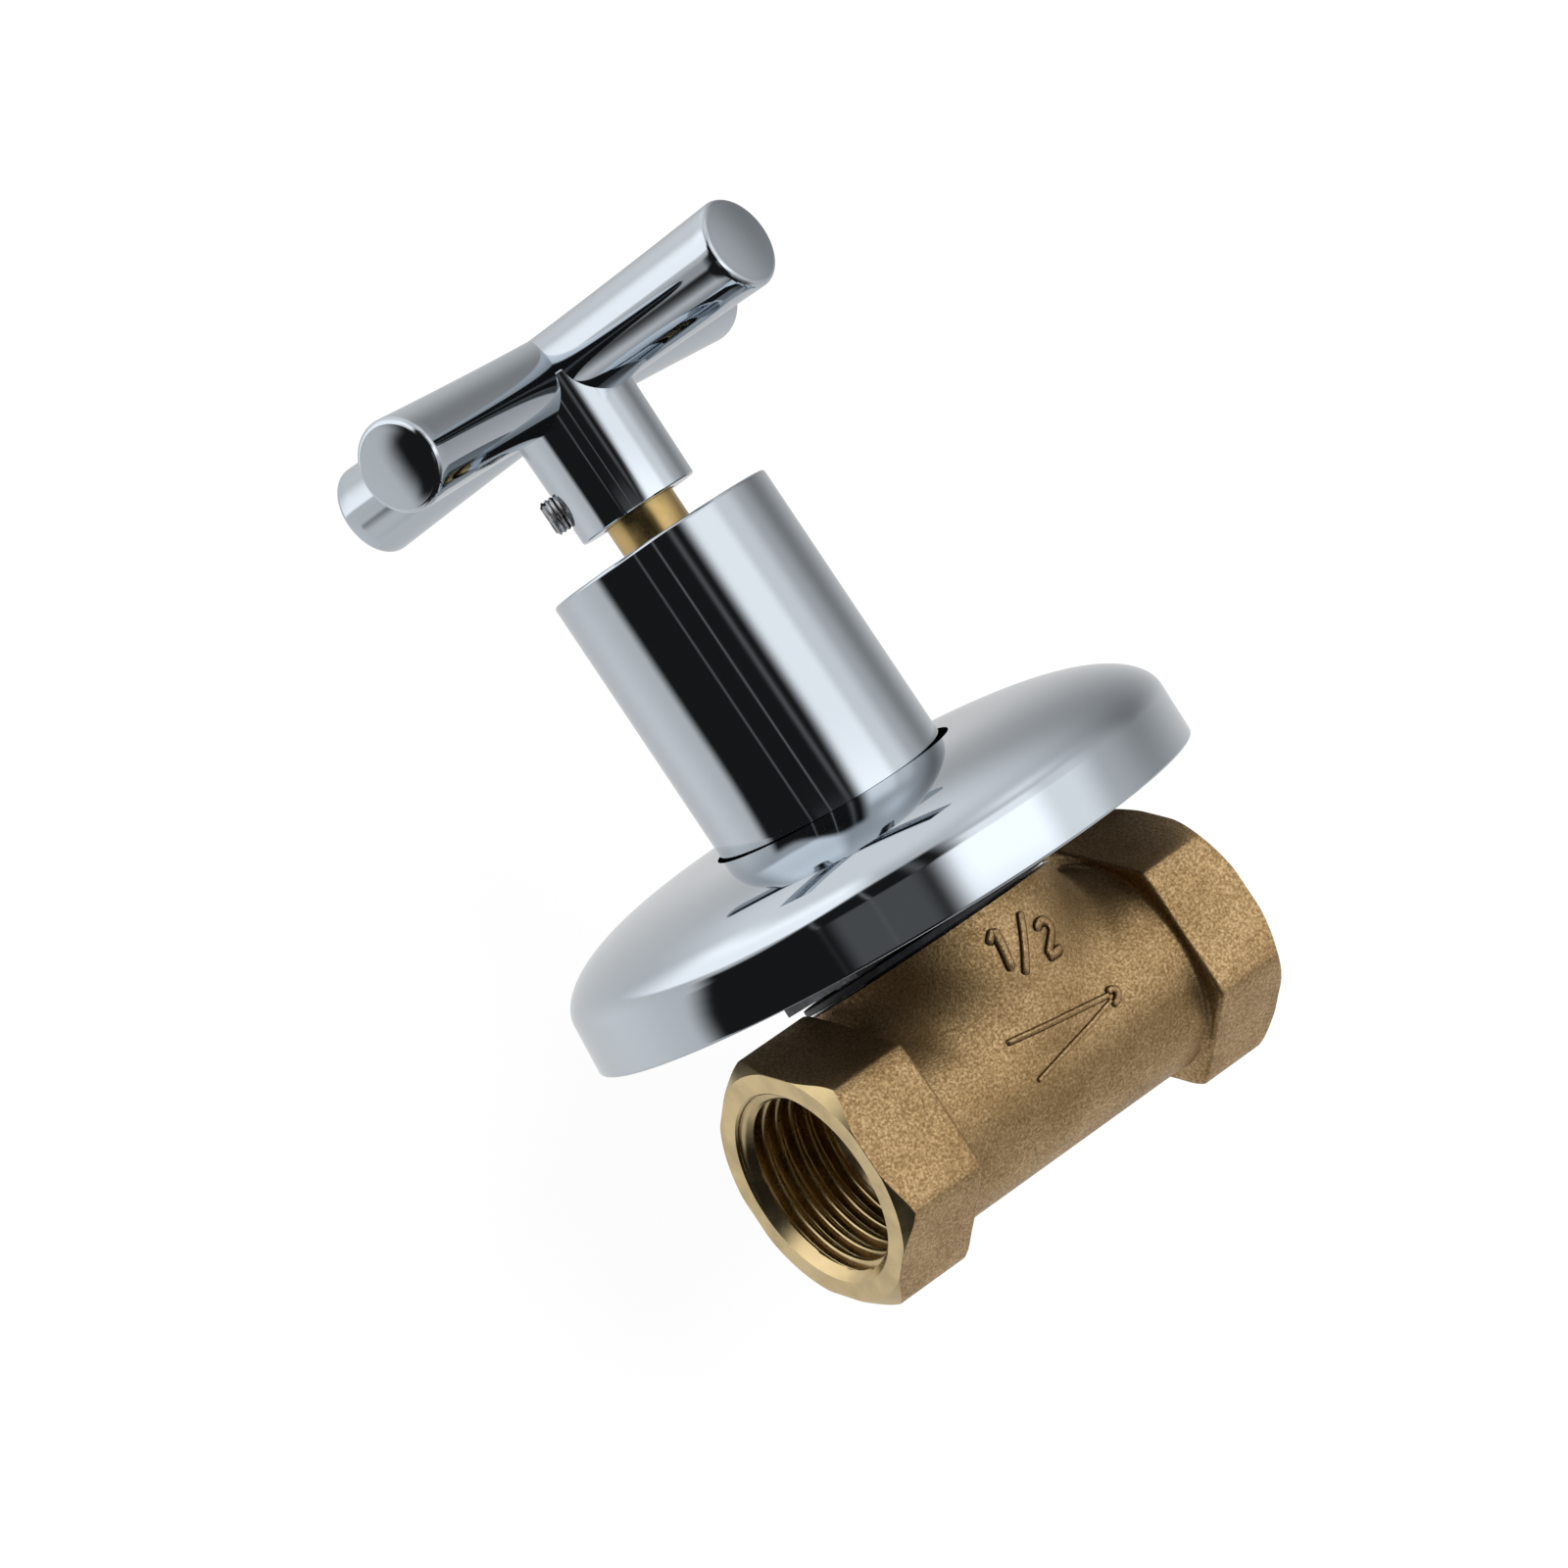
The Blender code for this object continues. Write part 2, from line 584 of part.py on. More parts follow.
def jumper():
    """The jumper: disc, peg up into the spindle and stud down through the washer."""
    nut_bottom = NUT_TOP - NUT_HEIGHT
    peg_top = JUMPER_TOP + JUMPER_PEG_LENGTH
    return turned("jumper", [
        (0, peg_top),
        (JUMPER_PEG_RADIUS, peg_top),
        (JUMPER_PEG_RADIUS, JUMPER_TOP),
        (JUMPER_RADIUS, JUMPER_TOP),
        (JUMPER_RADIUS, JUMPER_BOTTOM),
        (STUD_RADIUS, JUMPER_BOTTOM),
        (STUD_RADIUS, nut_bottom - GAP),
        (0, nut_bottom - GAP),
    ], TURNED_BRASS, STEM_AXIS, SMALL_SIDES)


def flat_ring(name, inner, outer, low, high, material, sides=SMALL_SIDES):
    """A flat washer round the stem."""
    outline = [(outer, high), (outer, low), (inner, low), (inner, high)]
    return turned(name, outline, material, STEM_AXIS, sides)


def jumper_pieces():
    """The rubber washer under the jumper, its backing plate and its nut."""
    hole = STUD_RADIUS + GAP
    washer_top = WASHER_BOTTOM + WASHER_THICKNESS
    flat_ring("jumper_washer", hole, WASHER_RADIUS, WASHER_BOTTOM, washer_top, RUBBER)
    plate_bottom = PLATE_TOP - PLATE_THICKNESS
    flat_ring("washer_plate", hole, PLATE_RADIUS, plate_bottom, PLATE_TOP, TURNED_BRASS)
    nut = prism("washer_nut", NUT_FLATS, NUT_TOP - NUT_HEIGHT, NUT_TOP, TURNED_BRASS, STEM_AXIS)
    cut(nut, plain_cutter("nut_bore", hole, -SLEEVE_TOP, SLEEVE_TOP, STEM_AXIS, SMALL_SIDES // 2))


def spindle():
    """The rising spindle: socket for the jumper's peg, stop collar, thread and plain shaft."""
    peg_bore = JUMPER_PEG_RADIUS + GAP
    peg_top = JUMPER_TOP + JUMPER_PEG_LENGTH + GAP
    return turned("spindle", [
        (0, SPINDLE_TOP),
        (SHAFT_RADIUS - TIP_CHAMFER, SPINDLE_TOP),
        (SHAFT_RADIUS, SPINDLE_TOP - TIP_CHAMFER),
        (SHAFT_RADIUS, THREAD_TOP),
        (SPINDLE_THREAD_RADIUS, THREAD_TOP),
        (SPINDLE_THREAD_RADIUS, COLLAR_TOP),
        (COLLAR_RADIUS, COLLAR_TOP),
        (COLLAR_RADIUS, SPINDLE_BOTTOM),
        (peg_bore, SPINDLE_BOTTOM),
        (peg_bore, peg_top),
        (0, peg_top),
    ], TURNED_BRASS, STEM_AXIS, SMALL_SIDES)


def packing():
    """The packing with its washer below and the gland nut that presses it."""
    outer = PACKING_BORE_RADIUS - GAP
    inner = SHAFT_BORE_RADIUS
    washer_top = PACKING_WASHER_BOTTOM + PACKING_WASHER_THICKNESS
    packing_top = PACKING_BOTTOM + PACKING_THICKNESS
    flat_ring("packing_washer", inner, outer, PACKING_WASHER_BOTTOM, washer_top, TURNED_BRASS)
    flat_ring("gland_packing", inner, outer, PACKING_BOTTOM, packing_top, PACKING_WHITE)
    gland = prism("gland_nut", GLAND_FLATS, GLAND_HEX_BOTTOM, GLAND_TOP, TURNED_BRASS, STEM_AXIS)
    middle = (GLAND_HEX_BOTTOM + GLAND_TOP) / 2
    join(gland, plain_cutter("gland_nose", outer, GLAND_BOTTOM, middle, STEM_AXIS))
    cut(gland, plain_cutter("gland_bore", inner, 0, SLEEVE_TOP, STEM_AXIS))


def side_screw(name, radius, inner, outer, height, turn, material):
    """A headless slotted screw across the stem, from one distance off the axis to another."""
    screw = turned(name, [(0, outer), (radius, outer), (radius, inner), (0, inner)], material, STEM_AXIS,
                   SMALL_SIDES // 2)
    screw.location = (0, 0, height)
    screw.rotation_euler = (0, math.pi / 2, turn)
    slot_mesh = bpy.data.meshes.new(f"{name}_slot")
    shape = bmesh.new()
    bmesh.ops.create_cube(shape, size=1.0)
    depth = 2 * GRUB_SLOT
    bmesh.ops.scale(shape, vec=(GRUB_SLOT, 3 * radius, depth), verts=shape.verts)
    bmesh.ops.translate(shape, vec=(0, 0, outer), verts=shape.verts)
    shape.to_mesh(slot_mesh)
    shape.free()
    slot = add_object(f"{name}_slot", slot_mesh, None, STEM_AXIS)
    slot.location = screw.location
    slot.rotation_euler = screw.rotation_euler
    return cut(screw, slot)


def screw_hole(name, radius, inner, outer, height, turn):
    """The hole for a screw across the stem."""
    hole = plain_cutter(name, radius, inner, outer, STEM_AXIS, SMALL_SIDES // 2)
    hole.location = (0, 0, height)
    hole.rotation_euler = (0, math.pi / 2, turn)
    return hole


def spindle_extension():
    """The rod that carries the spindle out to the handle, with its socket and its set screw."""
    socket_bore = SHAFT_BORE_RADIUS
    rod = turned("spindle_extension", [
        (0, ROD_TOP),
        (ROD_RADIUS - TIP_CHAMFER, ROD_TOP),
        (ROD_RADIUS, ROD_TOP - TIP_CHAMFER),
        (ROD_RADIUS, SOCKET_TOP),
        (SOCKET_RADIUS - SOCKET_CHAMFER, SOCKET_TOP),
        (SOCKET_RADIUS, SOCKET_TOP - SOCKET_CHAMFER),
        (SOCKET_RADIUS, SOCKET_BOTTOM),
        (socket_bore, SOCKET_BOTTOM),
        (socket_bore, SPINDLE_TOP + GAP),
        (0, SPINDLE_TOP + GAP),
    ], TURNED_BRASS, STEM_AXIS, SMALL_SIDES)
    height = SOCKET_BOTTOM + SOCKET_OVERLAP / 2
    radius = SOCKET_SCREW_RADIUS
    cut(rod, screw_hole("socket_hole", radius + GAP, 0, 2 * SOCKET_RADIUS, height, GRUB_TURN))
    side_screw("extension_screw", radius, socket_bore, SOCKET_RADIUS - GAP, height, GRUB_TURN, STEEL)


def sleeve():
    """The cover tube, turned in at its top round the rod."""
    hole = ROD_RADIUS + SLEEVE_HOLE_GAP
    under = SLEEVE_TOP - SLEEVE_TOP_THICKNESS
    edge = arc((SLEEVE_RADIUS - SLEEVE_EDGE, SLEEVE_TOP - SLEEVE_EDGE), SLEEVE_EDGE, 90, 0, 3)
    outline = [(hole, SLEEVE_TOP)] + edge + [
        (SLEEVE_RADIUS, SLEEVE_BOTTOM),
        (SLEEVE_BORE_RADIUS, SLEEVE_BOTTOM),
        (SLEEVE_BORE_RADIUS, under),
        (hole, under),
    ]
    return turned("sleeve", outline, CHROME, STEM_AXIS, LARGE_SIDES)


def rubber_rings():
    """The three O-rings: round the spindle, in the sleeve and in the wall plate's neck."""
    rubber_ring("spindle_ring", SHAFT_RADIUS + SEAL_GAP, SPINDLE_RING_THICKNESS, spindle_ring_height())
    groove_middle = BONNET_NECK_BOTTOM - GROOVE_LAND - GROOVE_PLAY - RING_THICKNESS / 2
    inner = SLEEVE_BORE_RADIUS - SEAL_GAP - RING_THICKNESS
    rubber_ring("sleeve_ring", inner, RING_THICKNESS, groove_middle)
    rubber_ring("plate_ring", SLEEVE_RADIUS + SEAL_GAP, RING_THICKNESS, PLATE_PIVOT, MIDDLE_SIDES)


def dome_curve(inset, steps):
    """The dome from the sleeve out to the top of the band: a quarter of a full oval.

    inset moves it inwards for the plate's inside. The points crowd towards the steep shoulder.
    """
    inner = NECK_BORE_RADIUS
    outer = WALL_PLATE_RADIUS - BAND_DRAFT - inset
    points = []
    for step in range(steps + 1):
        share = 1 - (1 - step / steps) ** 2
        fall = 1 - math.sqrt(1 - share ** DOME_FULLNESS)
        points.append((inner + (outer - inner) * share, DOME_TOP - inset - DOME_HEIGHT * fall))
    return points


def wall_plate():
    """The domed wall plate: rim band, soft shoulder, dome and a neck with the ring's chamber."""
    outside = dome_curve(0, 10)
    foot = [
        (WALL_PLATE_RADIUS, PLATE_BACK),
        (WALL_PLATE_RADIUS - WALL_PLATE_THICKNESS, PLATE_BACK),
    ]
    neck_outer = NECK_BORE_RADIUS + NECK_WIDTH
    under = [point for point in reversed(dome_curve(WALL_PLATE_THICKNESS, 7)) if point[0] > neck_outer]
    neck_low = PLATE_PIVOT - CHAMBER_HALF - NECK_LIP
    chamber_radius = PLATE_RING_RADIUS + SEAL_GAP
    neck = [
        (neck_outer, neck_low),
        (NECK_BORE_RADIUS, neck_low),
        (NECK_BORE_RADIUS, PLATE_PIVOT - CHAMBER_HALF),
        (chamber_radius, PLATE_PIVOT - CHAMBER_HALF),
        (chamber_radius, PLATE_PIVOT + CHAMBER_HALF),
        (NECK_BORE_RADIUS, PLATE_PIVOT + CHAMBER_HALF),
    ]
    return turned("wall_plate", outside + foot + under + neck, CHROME, PLATE_AXIS, LARGE_SIDES)


def arm_bar(name, material, turn):
    """Two opposite arms of the handle as one turned bar, waisted at the hub."""
    edge_top = ARM_REACH - ARM_CROWN
    quarter = [
        (0, ARM_REACH),
        (0.55 * ARM_TIP_RADIUS, ARM_REACH - 0.3 * ARM_CROWN),
        (ARM_TIP_RADIUS - ARM_EDGE, edge_top),
        (ARM_TIP_RADIUS - 0.3 * ARM_EDGE, edge_top - 0.3 * ARM_EDGE),
        (ARM_TIP_RADIUS, edge_top - ARM_EDGE),
    ]
    for share in (0.66, 0.36, 0.16):
        flare = (ARM_TIP_RADIUS - ARM_ROOT_RADIUS) * share ** 1.6
        quarter.append((ARM_ROOT_RADIUS + flare, ARM_REACH * share))
    outline = quarter + [(radius, -height) for radius, height in reversed(quarter)]
    bar = turned(name, outline, material, STEM_AXIS, MIDDLE_SIDES)
    bar.location = (0, 0, ARM_PLANE)
    bar.rotation_euler = (0, math.pi / 2, turn)
    return bar


def cross_handle():
    """The handle: four arms and the hub in one casting, bored for the rod and the grub screw."""
    handle = arm_bar("cross_handle", CHROME, HANDLE_TURN)
    second = arm_bar("second_bar", None, HANDLE_TURN + math.pi / 2)
    hub = turned("hub", [
        (0, ARM_PLANE),
        (HUB_RADIUS, ARM_PLANE),
        (HUB_BOTTOM_RADIUS, HUB_BOTTOM + EDGE_BREAK),
        (HUB_BOTTOM_RADIUS - EDGE_BREAK, HUB_BOTTOM),
        (0, HUB_BOTTOM),
    ], None, STEM_AXIS)
    join(handle, second, hub)
    bore_top = ROD_TOP + GAP
    bore = plain_cutter("hub_bore", ROD_RADIUS + GAP, HUB_BOTTOM - OVERLAP, bore_top, STEM_AXIS)
    height = HUB_BOTTOM + GRUB_HEIGHT
    hole = screw_hole("grub_hole", GRUB_RADIUS + GAP, 0, 2 * HUB_RADIUS, height, GRUB_TURN)
    cut(handle, bore, hole)
    outer = HUB_RADIUS + GRUB_STAND
    side_screw("grub_screw", GRUB_RADIUS, ROD_RADIUS + GAP, outer, height, GRUB_TURN, STEEL)


def shade(collection):
    """Smooth shading with sharp edges on every piece."""
    for piece in collection.objects:
        if piece.type == "MESH" and piece.data.polygons:
            piece.data.shade_smooth()
            piece.data.set_sharp_from_angle(angle=math.radians(35))


def build():
    """Build every piece, from the casting outwards."""
    valve_body()
    bonnet_gasket()
    bonnet()
    jumper()
    jumper_pieces()
    spindle()
    packing()
    spindle_extension()
    sleeve()
    rubber_rings()
    wall_plate()
    cross_handle()
    shade(VALVE)
    bpy.context.view_layer.update()


build()
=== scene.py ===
"""The looks of a concealed shower stop valve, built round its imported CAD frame.

The frame's origin is the centre of the inlet's mouth. Water flows along -X, the stem stands out
along -Y towards the user's hand, and +Z is up. Sizes are written in millimetres and turned to
metres in one place. Two sets of cylindrical coordinates are used:

- round the pipe: a distance along it from the inlet's mouth, a radius, and an angle counted from
  the stem's direction towards +Z;
- round the stem: a height up the stem from the pipe's axis, a radius, and an angle counted from
  +X towards +Z.
"""

import logging
import math
from dataclasses import dataclass, field
from enum import Enum

import bmesh
import bpy
import numpy as np
from mathutils import Matrix, Vector


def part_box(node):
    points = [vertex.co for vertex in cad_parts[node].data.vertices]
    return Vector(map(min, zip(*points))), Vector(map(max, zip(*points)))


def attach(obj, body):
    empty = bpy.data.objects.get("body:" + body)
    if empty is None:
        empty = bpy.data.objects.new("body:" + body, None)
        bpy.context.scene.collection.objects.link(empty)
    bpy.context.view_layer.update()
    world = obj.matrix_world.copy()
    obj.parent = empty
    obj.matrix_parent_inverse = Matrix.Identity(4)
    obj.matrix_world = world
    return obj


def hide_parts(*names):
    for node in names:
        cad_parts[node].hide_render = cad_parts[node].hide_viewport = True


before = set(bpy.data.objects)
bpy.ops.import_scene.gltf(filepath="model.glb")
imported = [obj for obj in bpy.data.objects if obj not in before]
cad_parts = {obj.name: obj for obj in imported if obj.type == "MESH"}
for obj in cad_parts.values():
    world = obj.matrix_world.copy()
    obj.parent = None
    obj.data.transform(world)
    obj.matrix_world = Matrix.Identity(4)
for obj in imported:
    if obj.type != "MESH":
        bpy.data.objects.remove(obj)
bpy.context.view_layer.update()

Colour = tuple[float, float, float]
Stop = tuple[float, object]
Outline = list[tuple[float, float]]

MM = 0.001
STEM_OFFSET = 26.5
VALVE_MIDDLE = (-0.0265, -0.04, 0.0)
SHARP = 1e-4

log = logging.getLogger("shower_valve")


class Body(Enum):
    """The moving bodies of the frame."""

    VALVE = "valve"
    JUMPER = "jumper"
    HANDLE = "handle"
    RING = "ring"
    PLATE = "plate"


class Slot(Enum):
    """The material slots of the record."""

    CAST_BRASS = "cast_brass"
    TURNED_BRASS = "turned_brass"
    CHROME = "chrome"
    RUBBER = "rubber"
    PACKING = "packing"
    STEEL = "steel"


# Node helpers


class NodeBench:
    """A node tree with short ways to add and link nodes."""

    def __init__(self, owner: bpy.types.ID) -> None:
        """Open the node tree of a material or world.

        Args:
            owner: What the nodes belong to. A new material has a Principled shader.
        """
        owner.use_nodes = True
        self.owner = owner
        self.tree = owner.node_tree
        self.shader = self.tree.nodes.get("Principled BSDF")

    @classmethod
    def material(cls, name: str, metallic: float = 0.0) -> "NodeBench":
        """Open a new material.

        Args:
            name: The material's name.
            metallic: 1 for bare metal, 0 for the rest.

        Returns:
            The bench of its nodes.
        """
        bench = cls(bpy.data.materials.new(name))
        bench.shader.inputs["Metallic"].default_value = metallic
        return bench

    def add(self, kind: str, **values: object) -> bpy.types.Node:
        """Add a node and set its attributes or its input sockets by name.

        Args:
            kind: The node's type name.
            values: Attributes, or inputs whose spaces are written as underscores.

        Returns:
            The new node.
        """
        node = self.tree.nodes.new(kind)
        for key, value in values.items():
            if hasattr(node, key):
                setattr(node, key, value)
            else:
                node.inputs[key.replace("_", " ")].default_value = value
        return node

    def link(self, source: bpy.types.NodeSocket, target: bpy.types.NodeSocket) -> None:
        """Link an output to an input."""
        self.tree.links.new(source, target)

    def place(self) -> bpy.types.NodeSocket:
        """Return the Object coordinates."""
        return self.add("ShaderNodeTexCoord").outputs["Object"]

    def noise(
        self, scale: float, detail: float = 3.0, rough: float = 0.5
    ) -> bpy.types.NodeSocket:
        """Return a noise pattern on Object coordinates.

        Args:
            scale: Cells per metre.
            detail: Octaves.
            rough: How much the finer octaves show.

        Returns:
            The pattern's value, round 0.5.
        """
        node = self.add("ShaderNodeTexNoise", Scale=scale, Detail=detail, Roughness=rough)
        self.link(self.place(), node.inputs["Vector"])
        return node.outputs["Fac"]

    def math(self, operation: str, *values: object) -> bpy.types.NodeSocket:
        """Combine numbers or sockets with a Math node.

        Args:
            operation: The Math node's operation.
            values: As many numbers or sockets as the operation takes.

        Returns:
            The result.
        """
        node = self.add("ShaderNodeMath", operation=operation)
        for socket, value in zip(node.inputs, values):
            if isinstance(value, bpy.types.NodeSocket):
                self.link(value, socket)
            else:
                socket.default_value = value
        return node.outputs[0]

    def ramp(self, value: bpy.types.NodeSocket, *stops: Stop) -> bpy.types.NodeSocket:
        """Turn a value into a colour or grey by stops.

        Args:
            value: What drives the ramp.
            stops: Pairs of place and colour, where a number is a grey.

        Returns:
            The ramp's colour.
        """
        node = self.add("ShaderNodeValToRGB")
        elements = node.color_ramp.elements
        while len(elements) < len(stops):
            elements.new(0.5)
        for element, (place, colour) in zip(elements, stops):
            element.position = place
            grey = (colour,) * 3 if isinstance(colour, (int, float)) else colour
            element.color = (*grey, 1.0)
        self.link(value, node.inputs["Fac"])
        return node.outputs["Color"]

    def paint(self, value: bpy.types.NodeSocket, *stops: Stop) -> None:
        """Ramp a value into the shader's colour."""
        self.link(self.ramp(value, *stops), self.shader.inputs["Base Color"])

    def roughen(self, value: bpy.types.NodeSocket, *stops: Stop) -> None:
        """Ramp a value into the shader's roughness."""
        self.link(self.ramp(value, *stops), self.shader.inputs["Roughness"])

    def bump(self, height: bpy.types.NodeSocket, depth: float, strength: float = 1.0) -> None:
        """Add relief to the shader's normal, on top of what is there.

        Args:
            height: The relief, 0 to 1.
            depth: The relief's height in metres.
            strength: How much of it shows.
        """
        node = self.add("ShaderNodeBump", Strength=strength, Distance=depth)
        self.link(height, node.inputs["Height"])
        target = self.shader.inputs["Normal"]
        if target.is_linked:
            self.link(target.links[0].from_socket, node.inputs["Normal"])
        self.link(node.outputs["Normal"], target)

    def show(self, surface: bpy.types.Node) -> None:
        """Make a node's first output the material's surface, in place of the first shader."""
        self.tree.nodes.remove(self.shader)
        self.link(surface.outputs[0], self.tree.nodes["Material Output"].inputs["Surface"])


def shade(colour: Colour, factor: float) -> Colour:
    """A colour made darker or lighter by a factor."""
    return tuple(factor * part for part in colour)


# Finishes


@dataclass(frozen=True)
class Chrome:
    """Polished chrome plate: a mirror with faint waves, and a few dull specks."""

    colour: Colour = (0.505, 0.550, 0.595)
    haze_scale: float = 160.0
    clear: float = 0.035
    hazy: float = 0.075
    wave_scale: float = 55.0
    wave_depth: float = 0.00002

    def build(self) -> bpy.types.Material:
        """Build the finish.

        Returns:
            The material.
        """
        bench = NodeBench.material("polished chrome", 1.0)
        bench.shader.inputs["Base Color"].default_value = (*self.colour, 1.0)
        haze = bench.noise(self.haze_scale, 4.0, 0.6)
        bench.roughen(haze, (0.45, self.clear), (0.75, self.hazy))
        bench.bump(bench.noise(self.wave_scale, 1.0), self.wave_depth, 0.6)
        return bench.owner


@dataclass(frozen=True)
class DullPlate:
    """The wall plate's inner face, which is only pressed and dipped: grey, dull and cloudy."""

    colour: Colour = (0.17, 0.175, 0.185)
    cloud_scale: float = 90.0
    grain_scale: float = 1200.0
    grain_depth: float = 0.00002

    def build(self) -> bpy.types.Material:
        """Build the finish.

        Returns:
            The material.
        """
        bench = NodeBench.material("dull inner face", 1.0)
        cloud = bench.noise(self.cloud_scale, 4.0, 0.6)
        bench.paint(cloud, (0.4, self.colour), (0.7, shade(self.colour, 1.6)))
        bench.roughen(cloud, (0.35, 0.36), (0.7, 0.52))
        bench.bump(bench.noise(self.grain_scale, 2.0), self.grain_depth, 0.5)
        return bench.owner


@dataclass(frozen=True)
class CastBrass:
    """Sand-cast brass: a granular skin, brown in its hollows and golden on its grains."""

    dark: Colour = (0.29, 0.178, 0.074)
    middle: Colour = (0.44, 0.290, 0.135)
    light: Colour = (0.66, 0.47, 0.255)
    # Painted shade at the foot of a raised mark: darkest at the foot, paler further up.
    foot_shade: Colour = (0.16, 0.13, 0.10)
    thin_foot_shade: Colour = (0.30, 0.26, 0.22)
    grain_scale: float = 3400.0
    grain_share: float = 0.72
    grain_depth: float = 0.00006
    blotch_scale: float = 170.0
    pit_scale: float = 480.0
    pit_depth: float = 0.00010
    painted_foot_shade: bool = False

    def build(self) -> bpy.types.Material:
        """Build the finish.

        With a painted foot shade, the colour is multiplied by a ramp of the mesh's crest attribute:
        this is painted shade, darkest in the corner round a raised mark.

        Returns:
            The material.
        """
        name = "marked cast brass" if self.painted_foot_shade else "sand-cast brass"
        bench = NodeBench.material(name, 1.0)
        grain = bench.noise(self.grain_scale, 3.0, 0.6)
        blotch = bench.noise(self.blotch_scale, 3.0, 0.55)
        fine = bench.math("MULTIPLY", grain, self.grain_share)
        mixed = bench.math("ADD", fine, bench.math("MULTIPLY", blotch, 1 - self.grain_share))
        colour = bench.ramp(mixed, (0.34, self.dark), (0.5, self.middle), (0.66, self.light))
        # Painted shade: the colour is darkened round the foot of each raised mark.
        if self.painted_foot_shade:
            colour = self.shade_foot(bench, colour)
        bench.link(colour, bench.shader.inputs["Base Color"])
        bench.roughen(grain, (0.35, 0.56), (0.7, 0.38))
        bench.bump(bench.noise(self.pit_scale, 2.0), self.pit_depth, 0.5)
        bench.bump(grain, self.grain_depth, 0.8)
        return bench.owner

    def shade_foot(
        self, bench: NodeBench, colour: bpy.types.NodeSocket
    ) -> bpy.types.NodeSocket:
        """Multiply a colour by the painted shade at a mark's foot.

        Args:
            bench: The material's bench.
            colour: The colour without the painted shade.

        Returns:
            The soiled colour.
        """
        crest = bench.add("ShaderNodeAttribute", attribute_name="crest").outputs["Fac"]
        clean = (1.0, 1.0, 1.0)
        # Painted shade ramp: darkest at a ridge's foot, white (no change) along its top.
        foot_shade = bench.ramp(crest, (0.0, self.foot_shade), (0.45, self.thin_foot_shade), (0.85, clean))
        mix = bench.add("ShaderNodeMix", data_type="RGBA", blend_type="MULTIPLY")
        factor, first, second = (mix.inputs[place] for place in (0, 6, 7))
        factor.default_value = 1.0
        bench.link(colour, first)
        bench.link(foot_shade, second)
        return mix.outputs[2]


class LatheAxis(Enum):
    """The axis of a turned face: the coordinates across it, and the one along it."""

    PIPE = ("Y", "Z", "X")
    STEM = ("X", "Z", "Y")


@dataclass(frozen=True)
class TurnedBrass:
    """Machined brass: pale gold with fine rings left by the tool."""

    axis: LatheAxis
    colour: Colour = (0.67, 0.52, 0.28)
    tone_scale: float = 260.0
    ring_pitch: float = 0.00022
    ring_depth: float = 0.000003

    def build(self) -> bpy.types.Material:
        """Build the finish.

        The rings are half the sine of radius plus distance along, in pitches, plus a half.

        Returns:
            The material.
        """
        bench = NodeBench.material(f"turned brass {self.axis.name.lower()}", 1.0)
        split = bench.add("ShaderNodeSeparateXYZ")
        bench.link(bench.place(), split.inputs["Vector"])
        first, second, along = (split.outputs[name] for name in self.axis.value)
        if self.axis is LatheAxis.STEM:
            first = bench.math("ADD", first, STEM_OFFSET * MM)
        squares = [bench.math("MULTIPLY", side, side) for side in (first, second)]
        radius = bench.math("SQRT", bench.math("ADD", *squares))
        run = bench.math("ADD", radius, along)
        phase = bench.math("DIVIDE", run, self.ring_pitch / (2 * math.pi))
        rings = bench.math("MULTIPLY_ADD", bench.math("SINE", phase), 0.5, 0.5)
        tone = bench.noise(self.tone_scale, 3.0)
        bench.paint(tone, (0.35, shade(self.colour, 0.72)), (0.62, self.colour))
        bench.roughen(tone, (0.4, 0.24), (0.7, 0.34))
        bench.bump(rings, self.ring_depth, 0.5)
        return bench.owner


@dataclass(frozen=True)
class DarkBrass:
    """Bonnet brass, near black as a blackened finish and as painted shade: a dark collar under the
    plate.
    """

    # Near black: partly the blackened finish, partly painted shade under the wall plate.
    colour: Colour = (0.040, 0.044, 0.050)
    grain_scale: float = 700.0
    grain_depth: float = 0.00002

    def build(self) -> bpy.types.Material:
        """Build the finish.

        Returns:
            The material.
        """
        bench = NodeBench.material("blackened brass", 0.7)
        tone = bench.noise(self.grain_scale, 4.0, 0.6)
        bench.paint(tone, (0.42, self.colour), (0.78, shade(self.colour, 2.6)))
        bench.roughen(tone, (0.4, 0.42), (0.7, 0.30))
        bench.bump(tone, self.grain_depth, 0.5)
        return bench.owner


@dataclass(frozen=True)
class Rubber:
    """Black rubber with a faint bloom."""

    colour: Colour = (0.022, 0.023, 0.026)
    grain_scale: float = 900.0
    grain_depth: float = 0.00002

    def build(self) -> bpy.types.Material:
        """Build the finish.

        Returns:
            The material.
        """
        bench = NodeBench.material("black rubber")
        tone = bench.noise(self.grain_scale, 3.0)
        bench.paint(tone, (0.4, self.colour), (0.75, shade(self.colour, 2.2)))
        bench.shader.inputs["Roughness"].default_value = 0.55
        bench.bump(tone, self.grain_depth, 0.5)
        return bench.owner


@dataclass(frozen=True)
class Packing:
    """Pale braided packing, wound round the spindle."""

    colour: Colour = (0.78, 0.77, 0.72)
    braid_scale: float = 900.0
    braid_depth: float = 0.00005

    def build(self) -> bpy.types.Material:
        """Build the finish.

        Returns:
            The material.
        """
        bench = NodeBench.material("braided packing")
        wave = bench.add("ShaderNodeTexWave", Scale=self.braid_scale, Distortion=3.0,
                         bands_direction="DIAGONAL")
        bench.link(bench.place(), wave.inputs["Vector"])
        braid = wave.outputs["Fac"]
        bench.paint(braid, (0.2, shade(self.colour, 0.7)), (0.8, self.colour))
        bench.shader.inputs["Roughness"].default_value = 0.7
        bench.bump(braid, self.braid_depth, 0.7)
        return bench.owner


